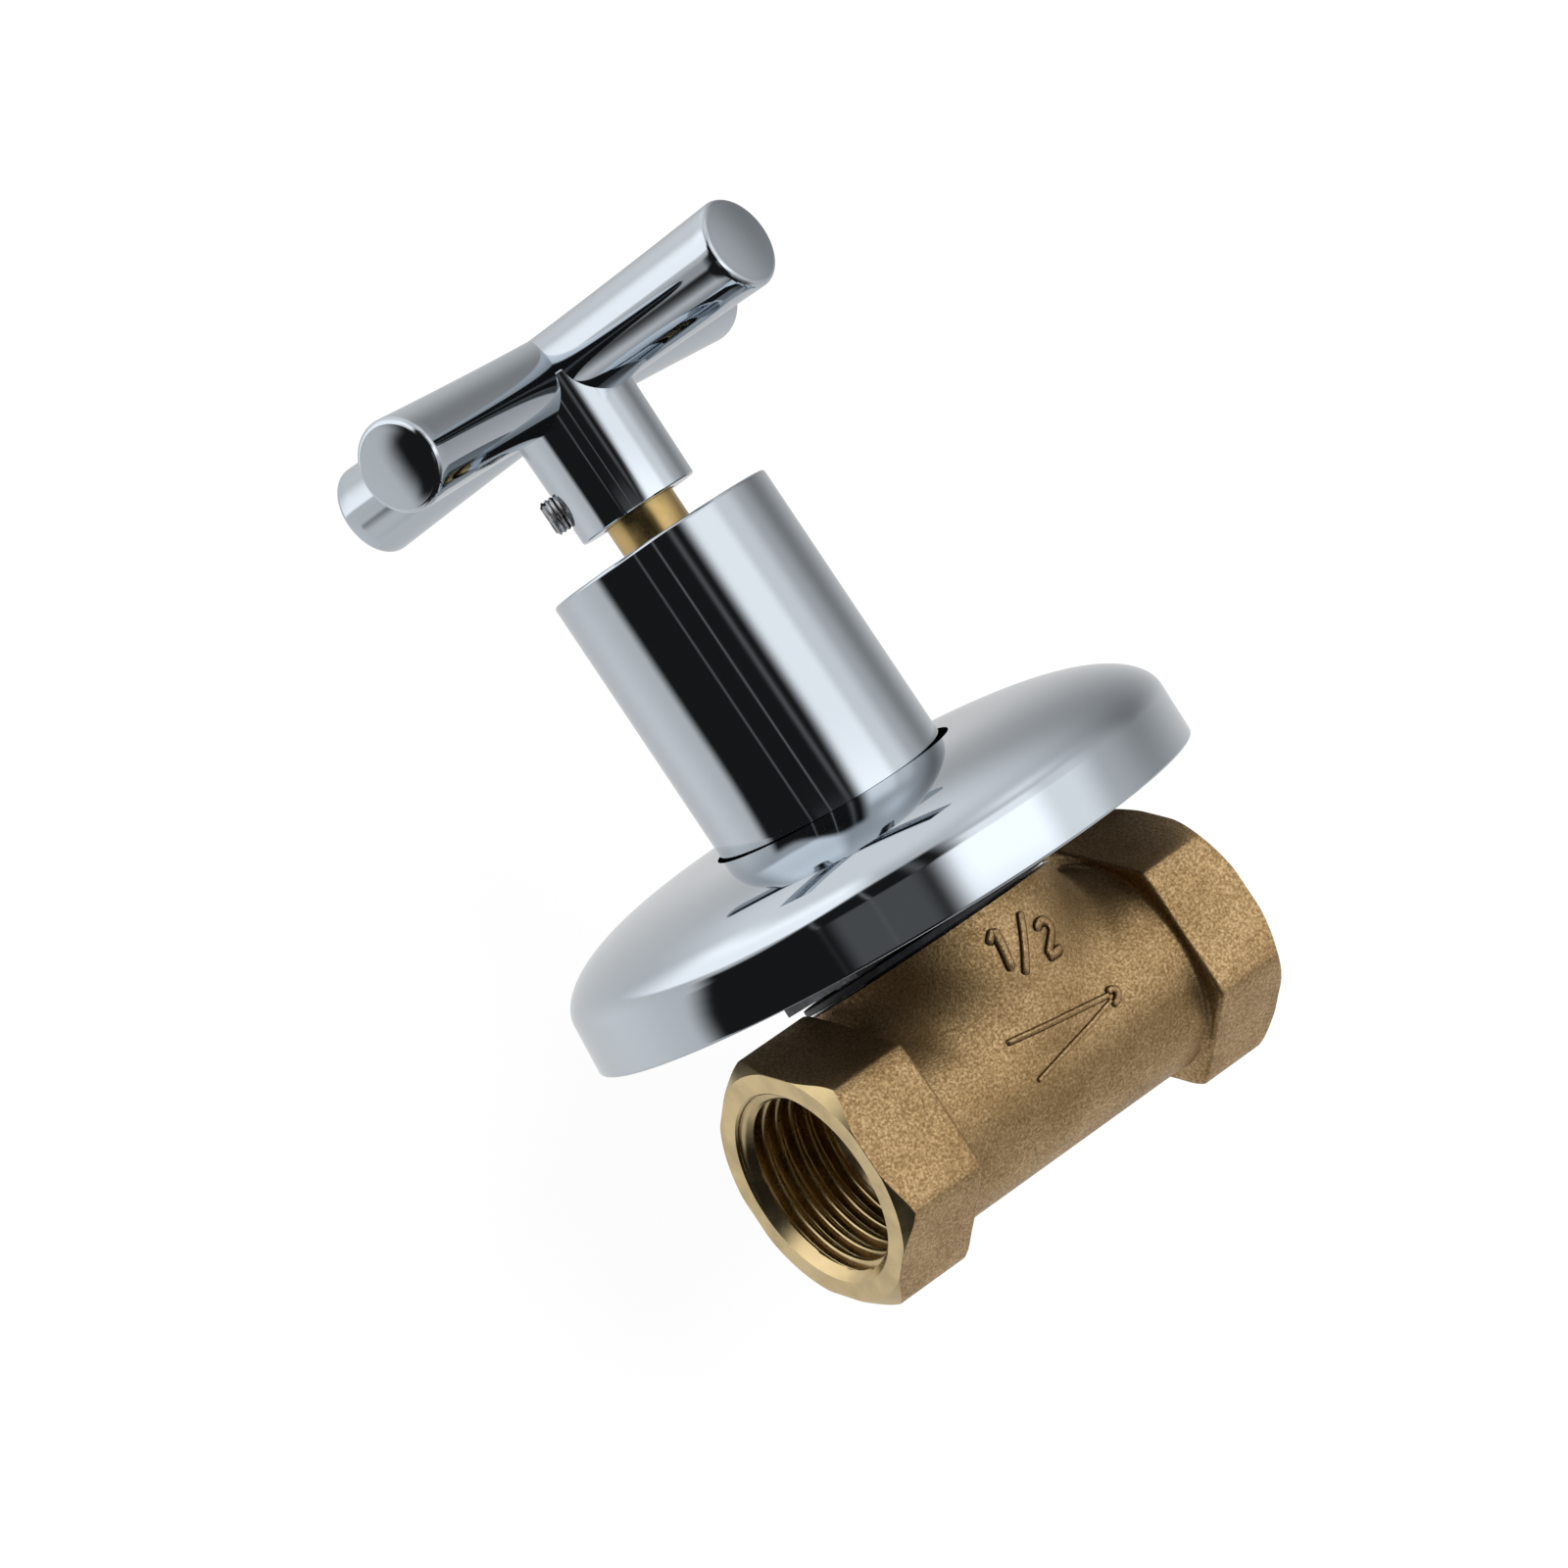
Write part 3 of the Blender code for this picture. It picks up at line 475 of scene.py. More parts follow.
@dataclass(frozen=True)
class Steel:
    """Zinc-plated steel of the two small screws."""

    colour: Colour = (0.50, 0.50, 0.52)
    tone_scale: float = 1400.0

    def build(self) -> bpy.types.Material:
        """Build the finish.

        Returns:
            The material.
        """
        bench = NodeBench.material("plated steel", 1.0)
        tone = bench.noise(self.tone_scale, 3.0)
        bench.paint(tone, (0.35, shade(self.colour, 0.6)), (0.65, self.colour))
        bench.roughen(tone, (0.3, 0.4), (0.7, 0.25))
        return bench.owner


@dataclass
class Finishes:
    """Every finish of the valve, built once and shared."""

    chrome: bpy.types.Material = field(default_factory=Chrome().build)
    dull: bpy.types.Material = field(default_factory=DullPlate().build)
    cast: bpy.types.Material = field(default_factory=CastBrass().build)
    # The marks' brass, with painted shade round their foot.
    marked: bpy.types.Material = field(default_factory=CastBrass(painted_foot_shade=True).build)
    turned_pipe: bpy.types.Material = field(default_factory=TurnedBrass(LatheAxis.PIPE).build)
    turned_stem: bpy.types.Material = field(
        default_factory=TurnedBrass(LatheAxis.STEM, (0.58, 0.41, 0.17)).build
    )
    # The bonnet's near-black brass: partly blackened, partly painted shade.
    blackened_and_shaded: bpy.types.Material = field(default_factory=DarkBrass().build)
    rubber: bpy.types.Material = field(default_factory=Rubber().build)
    packing: bpy.types.Material = field(default_factory=Packing().build)
    steel: bpy.types.Material = field(default_factory=Steel().build)


# Surfaces


def pipe_points(along: np.ndarray, radius: np.ndarray, angle: np.ndarray) -> np.ndarray:
    """Place points given round the pipe.

    x = -along, y = -radius cos(angle), z = radius sin(angle), all in metres.

    Args:
        along: Distance from the inlet's mouth in millimetres.
        radius: Distance from the pipe's axis in millimetres.
        angle: Angle from the stem's direction towards +Z, in radians.

    Returns:
        An array with the shape of the inputs and three coordinates each.
    """
    along, radius, angle = np.broadcast_arrays(along, radius, angle)
    return np.stack((-along, -radius * np.cos(angle), radius * np.sin(angle)), -1) * MM


def stem_points(height: np.ndarray, radius: np.ndarray, angle: np.ndarray) -> np.ndarray:
    """Place points given round the stem.

    x = radius cos(angle) - the stem's offset, y = -height, z = radius sin(angle), in metres.

    Args:
        height: Height up the stem from the pipe's axis in millimetres.
        radius: Distance from the stem's axis in millimetres.
        angle: Angle from +X towards +Z, in radians.

    Returns:
        An array with the shape of the inputs and three coordinates each.
    """
    height, radius, angle = np.broadcast_arrays(height, radius, angle)
    x = radius * np.cos(angle) - STEM_OFFSET
    return np.stack((x, -height, radius * np.sin(angle)), -1) * MM


def once_round(sides: int) -> np.ndarray:
    """Evenly spaced angles of one turn, as one row."""
    return np.linspace(0, 2 * math.pi, sides, endpoint=False)[None, :]


def smooth_min(first: np.ndarray, second: np.ndarray, blend: float) -> np.ndarray:
    """The smaller of two values, rounded over by a parabola where they are within the blend."""
    overlap = np.maximum(blend - np.abs(first - second), 0.0) / blend
    return np.minimum(first, second) - overlap * overlap * blend / 4


def fade(value: np.ndarray, start: float, end: float) -> np.ndarray:
    """Go smoothly from 0 at the start to 1 at the end, as 3t^2 - 2t^3."""
    t = np.clip((value - start) / (end - start), 0.0, 1.0)
    return t * t * (3 - 2 * t)


def thread_wave(along: np.ndarray, angle: np.ndarray, pitch: float) -> np.ndarray:
    """A rounded V thread: the sine of the distance in pitches less the turn, from 0 to 1."""
    phase = 2 * math.pi * along / pitch - angle
    return 0.5 + 0.5 * np.sin(phase + 0.35 * np.sin(2 * phase))


def grid_mesh(
    name: str, points: np.ndarray, loop: bool = False, clean: bool = True
) -> bpy.types.Mesh:
    """Make a closed mesh from a grid of points that closes round its second direction.

    Each quad joins a point with the next in its row and the two below them, with the last column
    joined to the first. Where the rows don't form a loop, a fan to its middle closes each end row.

    Args:
        name: The mesh's name.
        points: Rows by columns by three coordinates.
        loop: Whether the last row joins the first, as on a ring.
        clean: Whether doubles are merged and the normals made to point outwards.

    Returns:
        The mesh.
    """
    rows, columns = points.shape[:2]
    index = np.arange(rows * columns).reshape(rows, columns)
    here = index if loop else index[:-1]
    below = np.roll(index, -1, 0) if loop else index[1:]
    corners = (here, np.roll(here, -1, 1), np.roll(below, -1, 1), below)
    faces = np.stack(corners, -1).reshape(-1, 4).tolist()
    vertices = points.reshape(-1, 3)
    if not loop:
        vertices = np.concatenate((vertices, points[[0, -1]].mean(1)))
        for place, row in enumerate((index[0], index[-1])):
            centre = np.full(columns, rows * columns + place)
            faces += np.stack((centre, row, np.roll(row, -1)), -1).tolist()
    mesh = bpy.data.meshes.new(name)
    mesh.from_pydata(vertices.tolist(), [], faces)
    if clean:
        tidy(mesh)
    return mesh


def tidy(mesh: bpy.types.Mesh, merge: float = 1e-6) -> None:
    """Merge doubles, point the normals outwards and shade the mesh smooth.

    Args:
        mesh: The mesh. One whose volume comes out negative is turned right side out.
        merge: How close doubles are, in metres.
    """
    shape = bmesh.new()
    shape.from_mesh(mesh)
    bmesh.ops.remove_doubles(shape, verts=shape.verts, dist=merge)
    bmesh.ops.dissolve_degenerate(shape, edges=shape.edges, dist=merge)
    bmesh.ops.recalc_face_normals(shape, faces=shape.faces)
    if shape.calc_volume(signed=True) < 0:
        bmesh.ops.reverse_faces(shape, faces=shape.faces)
    shape.to_mesh(mesh)
    shape.free()
    shade_smooth(mesh)


def shade_smooth(mesh: bpy.types.Mesh) -> None:
    """Shade every face smooth."""
    mesh.polygons.foreach_set("use_smooth", np.ones(len(mesh.polygons), dtype=bool))


def round_corners(
    outline: np.ndarray, radius: float, closed: bool, steps: int = 4
) -> np.ndarray:
    """Round the corners of an outline.

    Each corner P between two points becomes the curve (1-t)^2 A + 2t(1-t) P + t^2 B, where A and
    B lie on its two sides, at most the radius and at most 0.4 of the side away.

    Args:
        outline: Points by two coordinates.
        radius: How far from each corner the rounding starts.
        closed: Whether the outline is a loop; otherwise its two ends stay.
        steps: Segments in each corner.

    Returns:
        The rounded outline.
    """
    before = np.roll(outline, 1, 0) - outline
    after = np.roll(outline, -1, 0) - outline
    sides = [np.linalg.norm(side, axis=1, keepdims=True) for side in (before, after)]
    reach = [np.minimum(radius, 0.4 * side) / np.maximum(side, 1e-9) for side in sides]
    start = (outline + before * reach[0])[:, None]
    end = (outline + after * reach[1])[:, None]
    t = np.linspace(0, 1, steps + 1)[None, :, None]
    corner = (1 - t) ** 2 * start + 2 * t * (1 - t) * outline[:, None] + t ** 2 * end
    if closed:
        return corner.reshape(-1, 2)
    return np.concatenate((outline[:1], corner[1:-1].reshape(-1, 2), outline[-1:]))


def turned(
    name: str, outline: Outline, rounding: float = 0.15, sides: int = 128
) -> bpy.types.Mesh:
    """Turn an outline of radius and height round the stem.

    The surface is stem_points(height(u), radius(u), angle(v)) with v going once round.

    Args:
        name: The mesh's name.
        outline: Radius and height points; it is a loop unless it starts and ends on the axis.
        rounding: How far the corners are rounded.
        sides: Columns round the stem.

    Returns:
        The mesh.
    """
    corners = np.array(outline, dtype=float)
    solid = corners[0, 0] == 0 and corners[-1, 0] == 0
    smooth = round_corners(corners, rounding, not solid)
    if solid:
        smooth = smooth[1:-1]
    points = stem_points(smooth[:, 1, None], smooth[:, 0, None], once_round(sides))
    return grid_mesh(name, points, loop=not solid)


def torus(name: str, middle: float, tube: float, height: float) -> bpy.types.Mesh:
    """Make a rubber ring round the stem: a small circle carried round a larger one.

    Args:
        name: The mesh's name.
        middle: The larger circle's radius.
        tube: The small circle's radius.
        height: The ring's height up the stem.

    Returns:
        The mesh.
    """
    turn = once_round(20).T
    points = stem_points(
        height + tube * np.sin(turn), middle + tube * np.cos(turn), once_round(128)
    )
    return grid_mesh(name, points, loop=True)


# Pieces


def make_object(
    name: str, mesh: bpy.types.Mesh, *materials: bpy.types.Material
) -> bpy.types.Object:
    """Put a mesh in the scene as an object at the origin.

    Args:
        name: The object's name.
        mesh: Its mesh, which has no materials yet.
        materials: Its materials, in order.

    Returns:
        The object.
    """
    piece = bpy.data.objects.new(name, mesh)
    bpy.context.scene.collection.objects.link(piece)
    for material in materials:
        mesh.materials.append(material)
    return piece


def closed_piece(
    name: str, points: np.ndarray, *materials: bpy.types.Material
) -> bpy.types.Object:
    """Make an object of a grid of points whose two end rows are closed."""
    return make_object(name, grid_mesh(name, points), *materials)


def turned_piece(
    name: str, outline: Outline, material: bpy.types.Material, rounding: float, sides: int = 128
) -> bpy.types.Object:
    """Make an object of an outline turned round the stem."""
    return make_object(name, turned(name, outline, rounding, sides), material)


def combine(
    piece: bpy.types.Object, others: list[bpy.types.Object], operation: str
) -> None:
    """Join or cut a piece with others, bake the result into its mesh and delete the others.

    Args:
        piece: The piece that is changed.
        others: The pieces that are joined or cut away, in order.
        operation: UNION or DIFFERENCE.
    """
    for other in others:
        modifier = piece.modifiers.new(other.name, "BOOLEAN")
        modifier.operation = operation
        modifier.solver = "EXACT"
        modifier.material_mode = "TRANSFER"
        modifier.object = other
    graph = bpy.context.evaluated_depsgraph_get()
    baked = bpy.data.meshes.new_from_object(piece.evaluated_get(graph))
    tidy(baked, 2e-6)
    piece.modifiers.clear()
    piece.data = baked
    for other in others:
        bpy.data.objects.remove(other, do_unlink=True)


def merge_shells(
    name: str, pieces: list[bpy.types.Object], material: bpy.types.Material
) -> bpy.types.Object:
    """Put several shells into one mesh, each keeping its own surface.

    Args:
        name: The new object's name.
        pieces: The shells, which are deleted.
        material: The material of all.

    Returns:
        The new object.
    """
    shape = bmesh.new()
    for piece in pieces:
        shape.from_mesh(piece.data)
    mesh = bpy.data.meshes.new(name)
    shape.to_mesh(mesh)
    shape.free()
    for piece in pieces:
        bpy.data.objects.remove(piece, do_unlink=True)
    return make_object(name, mesh, material)


def crease(piece: bpy.types.Object, degrees: float) -> None:
    """Keep edges sharper than an angle crisp, and the rest smooth."""
    shade_smooth(piece.data)
    piece.data.set_sharp_from_angle(angle=math.radians(degrees))


def dress(piece: bpy.types.Object, body: Body, slot: Slot, *nodes: str) -> None:
    """Make a finished piece ride on a body and stand for its CAD nodes.

    Args:
        piece: The piece, in place.
        body: The body that it moves with.
        slot: The record's slot of its finish; not used.
        nodes: The CAD nodes that it replaces.
    """
    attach(piece, body.value)
    if nodes:
        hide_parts(*nodes)
    log.info("%s: %d faces", piece.name, len(piece.data.polygons))


@dataclass
class Casting:
    """The cast body: pipe, hexagon ends, boss, threaded ports, passages and cast marks."""

    finishes: Finishes
    length: float = 53.0
    pipe_radius: float = 11.5
    hex_corner: float = 14.5
    corner_ease: float = 0.22
    corner_blend: float = 0.9
    inlet_hex: float = 10.3
    outlet_hex: float = 9.3
    hex_foot: float = 0.6
    hex_edge: float = 0.35
    face_radius: float = 12.7
    face_inset: float = 0.06
    chamfer_length: float = 1.4
    boss_radius: float = 14.4
    boss_height: float = 13.3
    boss_flare: float = 3.4
    boss_flare_height: float = 12.0
    boss_undercut: float = 0.15
    fillet: float = 3.2
    mouth_radius: float = 10.5
    crest_radius: float = 9.3
    root_radius: float = 10.42
    thread_pitch: float = 1.814
    thread_runout: float = 1.6
    port_depth: float = 11.5
    passage_radius: float = 8.7
    channel_radius: float = 8.4
    web: float = 1.3
    seat_radius: float = 5.5
    seat_lip: float = 1.5
    seat_top: float = 2.3
    seat_hole_top: float = 4.6
    seat_hole_bottom: float = -2.6
    chamber_radius: float = 8.8
    web_wall: float = 2.2
    bonnet_bore: float = 10.5
    bonnet_depth: float = 6.8
    spot_radius: float = 15.89
    ridge_sink: float = 0.02
    columns: int = 192

    def angles(self) -> np.ndarray:
        """Angles round the pipe, crowded at the hexagon's corners by a sine of six turns."""
        share = np.arange(self.columns) / self.columns
        return 2 * math.pi * share - 0.1 * np.sin(12 * math.pi * share)

    def slope(self) -> float:
        """How steeply the end cones rise from the face to the hexagon's corners."""
        return (self.hex_corner - self.face_radius) / self.chamfer_length

    def hexagon(self, angle: np.ndarray) -> np.ndarray:
        """Work out the hexagon's radius.

        It is the half width over the cosine of the angle from the nearest flat's middle, with the
        corners eased by a blend into a slightly smaller circle.

        Args:
            angle: Angles round the pipe.

        Returns:
            The radii.
        """
        apothem = self.hex_corner * math.cos(math.pi / 6)
        turn = np.mod(angle, math.pi / 3) - math.pi / 6
        circle = np.full_like(angle, self.hex_corner - self.corner_ease)
        return smooth_min(apothem / np.cos(turn), circle, self.corner_blend)

    def skin_radius(self, along: np.ndarray, angle: np.ndarray) -> np.ndarray:
        """Work out the radius of the pipe blended into the boss.

        The solid is the smooth union of a cylinder round the pipe and a bell round the stem. The
        bell's radius is the boss's less the flare times (1 - height / flare height)^2, and it
        draws in by the square of the depth below the pipe's axis. The surface is found along each
        ray from that axis by halving, for the whole grid at once.

        Args:
            along: Distances along the pipe.
            angle: Angles round the pipe.

        Returns:
            The radii.
        """
        along, angle = np.broadcast_arrays(along, angle)
        offset = along - STEM_OFFSET
        low = np.full(along.shape, 0.9 * self.pipe_radius)
        high = np.full(along.shape, 24.0)
        for _ in range(34):
            middle = (low + high) / 2
            height, side = middle * np.cos(angle), middle * np.sin(angle)
            rise = np.clip(height / self.boss_flare_height, -1.0, 1.0)
            bell = self.boss_radius - self.boss_flare * (1 - rise) ** 2
            bell = bell - self.boss_undercut * np.minimum(height, 0.0) ** 2
            boss = np.maximum(np.hypot(offset, side) - bell, height - self.boss_height - 1.0)
            outside = smooth_min(boss, middle - self.pipe_radius, self.fillet) > 0
            low = np.where(outside, low, middle)
            high = np.where(outside, middle, high)
        return (low + high) / 2

    def hex_rows(
        self, hex_length: float, angle: np.ndarray, mouth: float, inward: float
    ) -> tuple[np.ndarray, np.ndarray]:
        """Make the rows of one hexagon end, from its end face to the foot of its inner face.

        From the face the surface runs out a cone until it meets the flat, along the flat to a
        rounded edge, down the inner face, and out through a quarter round into the pipe.

        Args:
            hex_length: The hexagon's length.
            angle: Angles round the pipe.
            mouth: Where the end face is.
            inward: 1 towards the outlet, -1 towards the inlet.

        Returns:
            Distances along the pipe and radii, rows by columns.
        """
        flat = self.hexagon(angle)[None, :]
        face = np.minimum(self.face_radius, flat - self.face_inset)
        meet = (flat - face) / self.slope()
        one = np.ones_like(flat)
        foot_place = mouth + inward * (hex_length + self.hex_foot)
        foot = self.skin_radius(foot_place * one, angle[None, :])
        step = np.maximum(flat - foot, 0.2)
        edge = self.hex_edge * np.minimum(step, 1.4)
        base = np.minimum(0.5 * step, self.hex_foot)
        cone = np.linspace(0, 1, 7)[:, None]
        run = np.linspace(0.02, 1, 14)[:, None]
        over = np.linspace(0, math.pi / 2, 6)[1:, None]
        down = np.linspace(0, 1, 5)[1:-1, None]
        out = np.linspace(0, math.pi / 2, 6)[:, None]
        rows = [
            (0 * one, 0.55 * face),
            (0 * one, 0.98 * face),
            (cone * meet, face + cone * self.slope() * meet),
            (meet + run * (hex_length - edge - meet), flat + 0 * run),
            (hex_length - edge + edge * np.sin(over), flat - edge + edge * np.cos(over)),
            (hex_length + 0 * down * one, flat - edge + down * (foot + base - flat + edge)),
            (hex_length + self.hex_foot * (1 - np.cos(out)) * one,
             foot + base * (1 - np.sin(out))),
        ]
        along, radius = (np.concatenate([row[side] for row in rows]) for side in (0, 1))
        return mouth + inward * along, radius

    def skin(self) -> bpy.types.Object:
        """Make the outside of the casting as one closed surface round the pipe.

        A face is machined where it lies nearer its end than the cone does at its distance from
        the axis.

        Returns:
            The casting before its cuts.
        """
        angle = self.angles()
        first = self.hex_rows(self.inlet_hex, angle, 0.0, 1.0)
        last = self.hex_rows(self.outlet_hex, angle, self.length, -1.0)
        start = self.inlet_hex + self.hex_foot
        end = self.length - self.outlet_hex - self.hex_foot
        spread = [np.linspace(start, end, 130)]
        spread += [STEM_OFFSET + side * np.linspace(13.2, 15.0, 26) for side in (-1, 1)]
        middle = np.unique(np.round(np.concatenate(spread), 4))[1:-1, None]
        middle = middle[(middle[:, 0] > start) & (middle[:, 0] < end)]
        along = np.concatenate((first[0], middle + 0 * angle[None, :], last[0][::-1]))
        skin = self.skin_radius(middle, angle[None, :])
        radius = np.concatenate((first[1], skin, last[1][::-1]))
        points = pipe_points(along, radius, angle[None, :])
        piece = closed_piece("casting", points, self.finishes.cast, self.finishes.turned_pipe)
        mesh = piece.data
        centres = np.empty(len(mesh.polygons) * 3)
        mesh.polygons.foreach_get("center", centres)
        x, y, z = centres.reshape(-1, 3).T / MM
        depth = np.minimum(-x, self.length + x)
        cone = np.maximum(np.hypot(y, z) - self.face_radius, 0.0) / self.slope()
        machined = depth < cone + 0.03
        mesh.polygons.foreach_set("material_index", machined.astype(np.int32))
        return piece

    def port(
        self, name: str, mouth: float, inward: float, passage_end: float
    ) -> bpy.types.Object:
        """Make the cutter of one port: countersunk mouth, pipe thread, and passage to the web.

        The thread's radius is the crest's plus its depth times the thread wave, faded out at the
        thread's end, and the mouth's cone is the larger of that and 45 degrees from the face.

        Args:
            name: The cutter's name.
            mouth: Where the port's face is along the pipe.
            inward: 1 towards the outlet, -1 towards the inlet.
            passage_end: Where the passage ends along the pipe.

        Returns:
            The cutter.
        """
        angle = once_round(160)
        depth = np.concatenate(([-1.0], np.linspace(0, self.port_depth, 118)))[:, None]
        wave = thread_wave(depth, angle, self.thread_pitch)
        wave = wave * (1 - fade(depth, self.port_depth - self.thread_runout, self.port_depth))
        thread = self.crest_radius + (self.root_radius - self.crest_radius) * wave
        cone = self.mouth_radius + 0.1 - depth
        step = self.crest_radius - self.passage_radius
        tail = np.array([self.port_depth + step, abs(passage_end - mouth)])[:, None]
        along = mouth + inward * np.concatenate((depth, tail))
        passage = np.full((2, angle.shape[1]), self.passage_radius)
        radius = np.concatenate((np.maximum(thread, cone), passage))
        return closed_piece(name, pipe_points(along, radius, angle), self.finishes.turned_pipe)

    def half_channel(
        self, name: str, start: float, end: float, above: bool
    ) -> bpy.types.Object:
        """Make the cutter of a passage beside the web: a circle cut off by the web's face.

        Args:
            name: The cutter's name.
            start: Where it starts along the pipe.
            end: Where it ends along the pipe.
            above: Whether it lies on the stem's side of the web.

        Returns:
            The cutter.
        """
        low = math.acos(self.web / self.channel_radius)
        angle = np.linspace(-low, low, 48)
        if not above:
            angle = angle + math.pi
        ends = np.array([start, end])[:, None]
        radius = np.full((2, len(angle)), self.channel_radius)
        return closed_piece(name, pipe_points(ends, radius, angle[None, :]), self.finishes.cast)

    def stem_cutter(self, name: str, outline: Outline) -> bpy.types.Object:
        """Make a cutter turned round the stem, with sharp corners."""
        return turned_piece(name, outline, self.finishes.turned_stem, SHARP, 96)

    def build(self) -> None:
        """Build the casting, cut its ports, passages and chamber, and lay its marks on."""
        piece = self.skin()
        lip = self.seat_radius + self.seat_lip
        upper_end = STEM_OFFSET - self.chamber_radius - self.web_wall
        lower_end = STEM_OFFSET + lip
        outlet_end = lower_end + self.web_wall
        above, floor = self.boss_height + 3.0, self.boss_height - self.bonnet_depth
        cutters = [
            self.port("inlet_port", 0.0, 1.0, upper_end),
            self.port("outlet_port", self.length, -1.0, outlet_end),
            self.half_channel("channel_under_seat", upper_end - 1.0, lower_end, False),
            self.half_channel("channel_over_seat", STEM_OFFSET, outlet_end + 1.0, True),
            self.stem_cutter("stem_chamber", [
                (0, above), (self.bonnet_bore, above), (self.bonnet_bore, floor),
                (self.chamber_radius, floor), (self.chamber_radius, self.web), (lip, self.web),
                (lip, self.seat_top), (0, self.seat_top),
            ]),
            self.stem_cutter("seat_hole", [
                (0, self.seat_hole_top), (self.seat_radius, self.seat_hole_top),
                (self.seat_radius, self.seat_hole_bottom), (0, self.seat_hole_bottom),
            ]),
            self.stem_cutter("spot_face", [
                (0, above), (self.spot_radius, above), (self.spot_radius, self.boss_height),
                (0, self.boss_height),
            ]),
        ]
        combine(piece, cutters, "DIFFERENCE")
        crease(piece, 32.0)
        dress(piece, Body.VALVE, Slot.CAST_BRASS, "valve_body")
        self.marks()

    def ridge(self, path: np.ndarray, width: float, height: float) -> np.ndarray:
        """Carry a flat oval along a path laid on the casting's near side.

        The path is given in millimetres along the pipe and along the stem, both from where their
        axes cross. It is resampled evenly, smoothed and laid on the skin. Over half a width at
        each end the oval shrinks as a quarter circle does: sqrt(1 - (1 - share)^2).

        Args:
            path: Points by two coordinates.
            width: The ridge's width.
            height: How far it stands out of the skin.

        Returns:
            Rows by columns by three coordinates, in metres.
        """
        spans = np.linalg.norm(np.diff(path, axis=0), axis=1)
        run = np.concatenate(([0.0], np.cumsum(spans)))
        t = np.linspace(0, run[-1], max(int(run[-1] / 0.12), 12))
        line = np.stack([np.interp(t, run, side) for side in path.T], -1)
        soft = (0.25, 0.5, 0.25)
        for _ in range(3):
            padded = np.concatenate((line[:1], line, line[-1:]))
            line = np.stack([np.convolve(side, soft, "valid") for side in padded.T], -1)
        direction = np.gradient(line, axis=0)
        direction /= np.linalg.norm(direction, axis=1, keepdims=True)
        across = np.stack((-direction[:, 1], direction[:, 0]), -1)
        share = np.minimum(np.minimum(t, t[-1] - t) / (0.5 * width), 1.0)
        swell = np.sqrt(np.clip(1 - (1 - share) ** 2, 0.0004, 1.0))[:, None]
        turn = once_round(14)
        place = line[:, None] + across[:, None] * (0.5 * width * swell * np.cos(turn))[..., None]
        along, up = STEM_OFFSET + place[..., 0], place[..., 1]
        angle = np.arctan2(10.0, up)
        for _ in range(12):
            radius = self.skin_radius(along, angle)
            angle = np.arccos(np.clip(up / radius, -1.0, 1.0))
        return pipe_points(along, radius + height * swell * np.sin(turn) - self.ridge_sink, angle)

    @staticmethod
    def strokes() -> list[tuple[np.ndarray, float, float]]:
        """List the strokes of the marks.

        Returns:
            Each stroke's path, width and height: three groups for the 1, the slash and the 2, and
            one for the arrow's shaft, its lower line and its tip.
        """
        bend = np.linspace(math.radians(165), math.radians(-35), 14)
        hook = np.stack((3.55 + 0.95 * np.cos(bend), 8.05 + 0.95 * np.sin(bend)), -1)
        strokes = [
            ([(-3.0, 9.9), (-2.3, 10.6), (-1.75, 11.1)], 1.05, 0.52),
            ([(-1.75, 11.1), (-1.9, 8.9), (-2.1, 6.6)], 1.15, 0.55),
            ([(2.0, 11.0), (0.5, 8.2), (-1.0, 5.5)], 1.05, 0.52),
            ([*hook, (2.3, 5.75)], 1.10, 0.55),
            ([(2.2, 5.72), (3.4, 5.62), (4.7, 5.75)], 1.10, 0.55),
            ([(-6.2, 1.15), (-2.0, 0.45), (2.4, -0.15), (6.9, -0.75)], 0.72, 0.42),
            ([(-5.1, -3.65), (-0.5, -2.75), (3.6, -2.0), (6.9, -1.25)], 0.58, 0.30),
            ([(6.5, -1.9), (7.5, -1.5), (7.9, -0.8), (7.3, -0.35), (6.6, -0.5)], 0.90, 0.46),
        ]
        return [(np.array(path), width, height) for path, width, height in strokes]

    def marks(self) -> None:
        """Lay on the size "1/2" and the flow arrow, as rounded ridges that the mould left.

        The crest attribute is the sine round the oval, so 1 along a ridge's top and 0 at its foot,
        where the marked brass paints shade.
        """
        pieces = []
        for place, stroke in enumerate(self.strokes()):
            name, points = f"mark_{place}", self.ridge(*stroke)
            mesh = grid_mesh(name, points, clean=False)
            # crest drives the painted shade at each ridge's foot.
            crest = np.maximum(np.sin(once_round(points.shape[1])[0]), 0.0)
            crest = np.append(np.tile(crest, points.shape[0]), (0.3, 0.3))
            attribute = mesh.attributes.new("crest", "FLOAT", "POINT")
            attribute.data.foreach_set("value", crest.astype(np.float32))
            tidy(mesh)
            pieces.append(make_object(name, mesh))
        merged = merge_shells("casting_marks", pieces, self.finishes.marked)
        dress(merged, Body.VALVE, Slot.CAST_BRASS)


def span(node: str) -> tuple[float, float]:
    """A node's lowest and highest place up the stem, in millimetres."""
    low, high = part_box(node)
    return -high[1] / MM, -low[1] / MM


@dataclass(frozen=True)
class Washer:
    """A flat ring that stands for one node and takes its height from it."""

    name: str
    node: str
    body: Body
    slot: Slot
    outer: float
    inner: float
    rounding: float = 0.15

    def outline(self) -> Outline:
        """The ring's section."""
        low, high = span(self.node)
        return [(self.outer, high), (self.outer, low), (self.inner, low), (self.inner, high)]


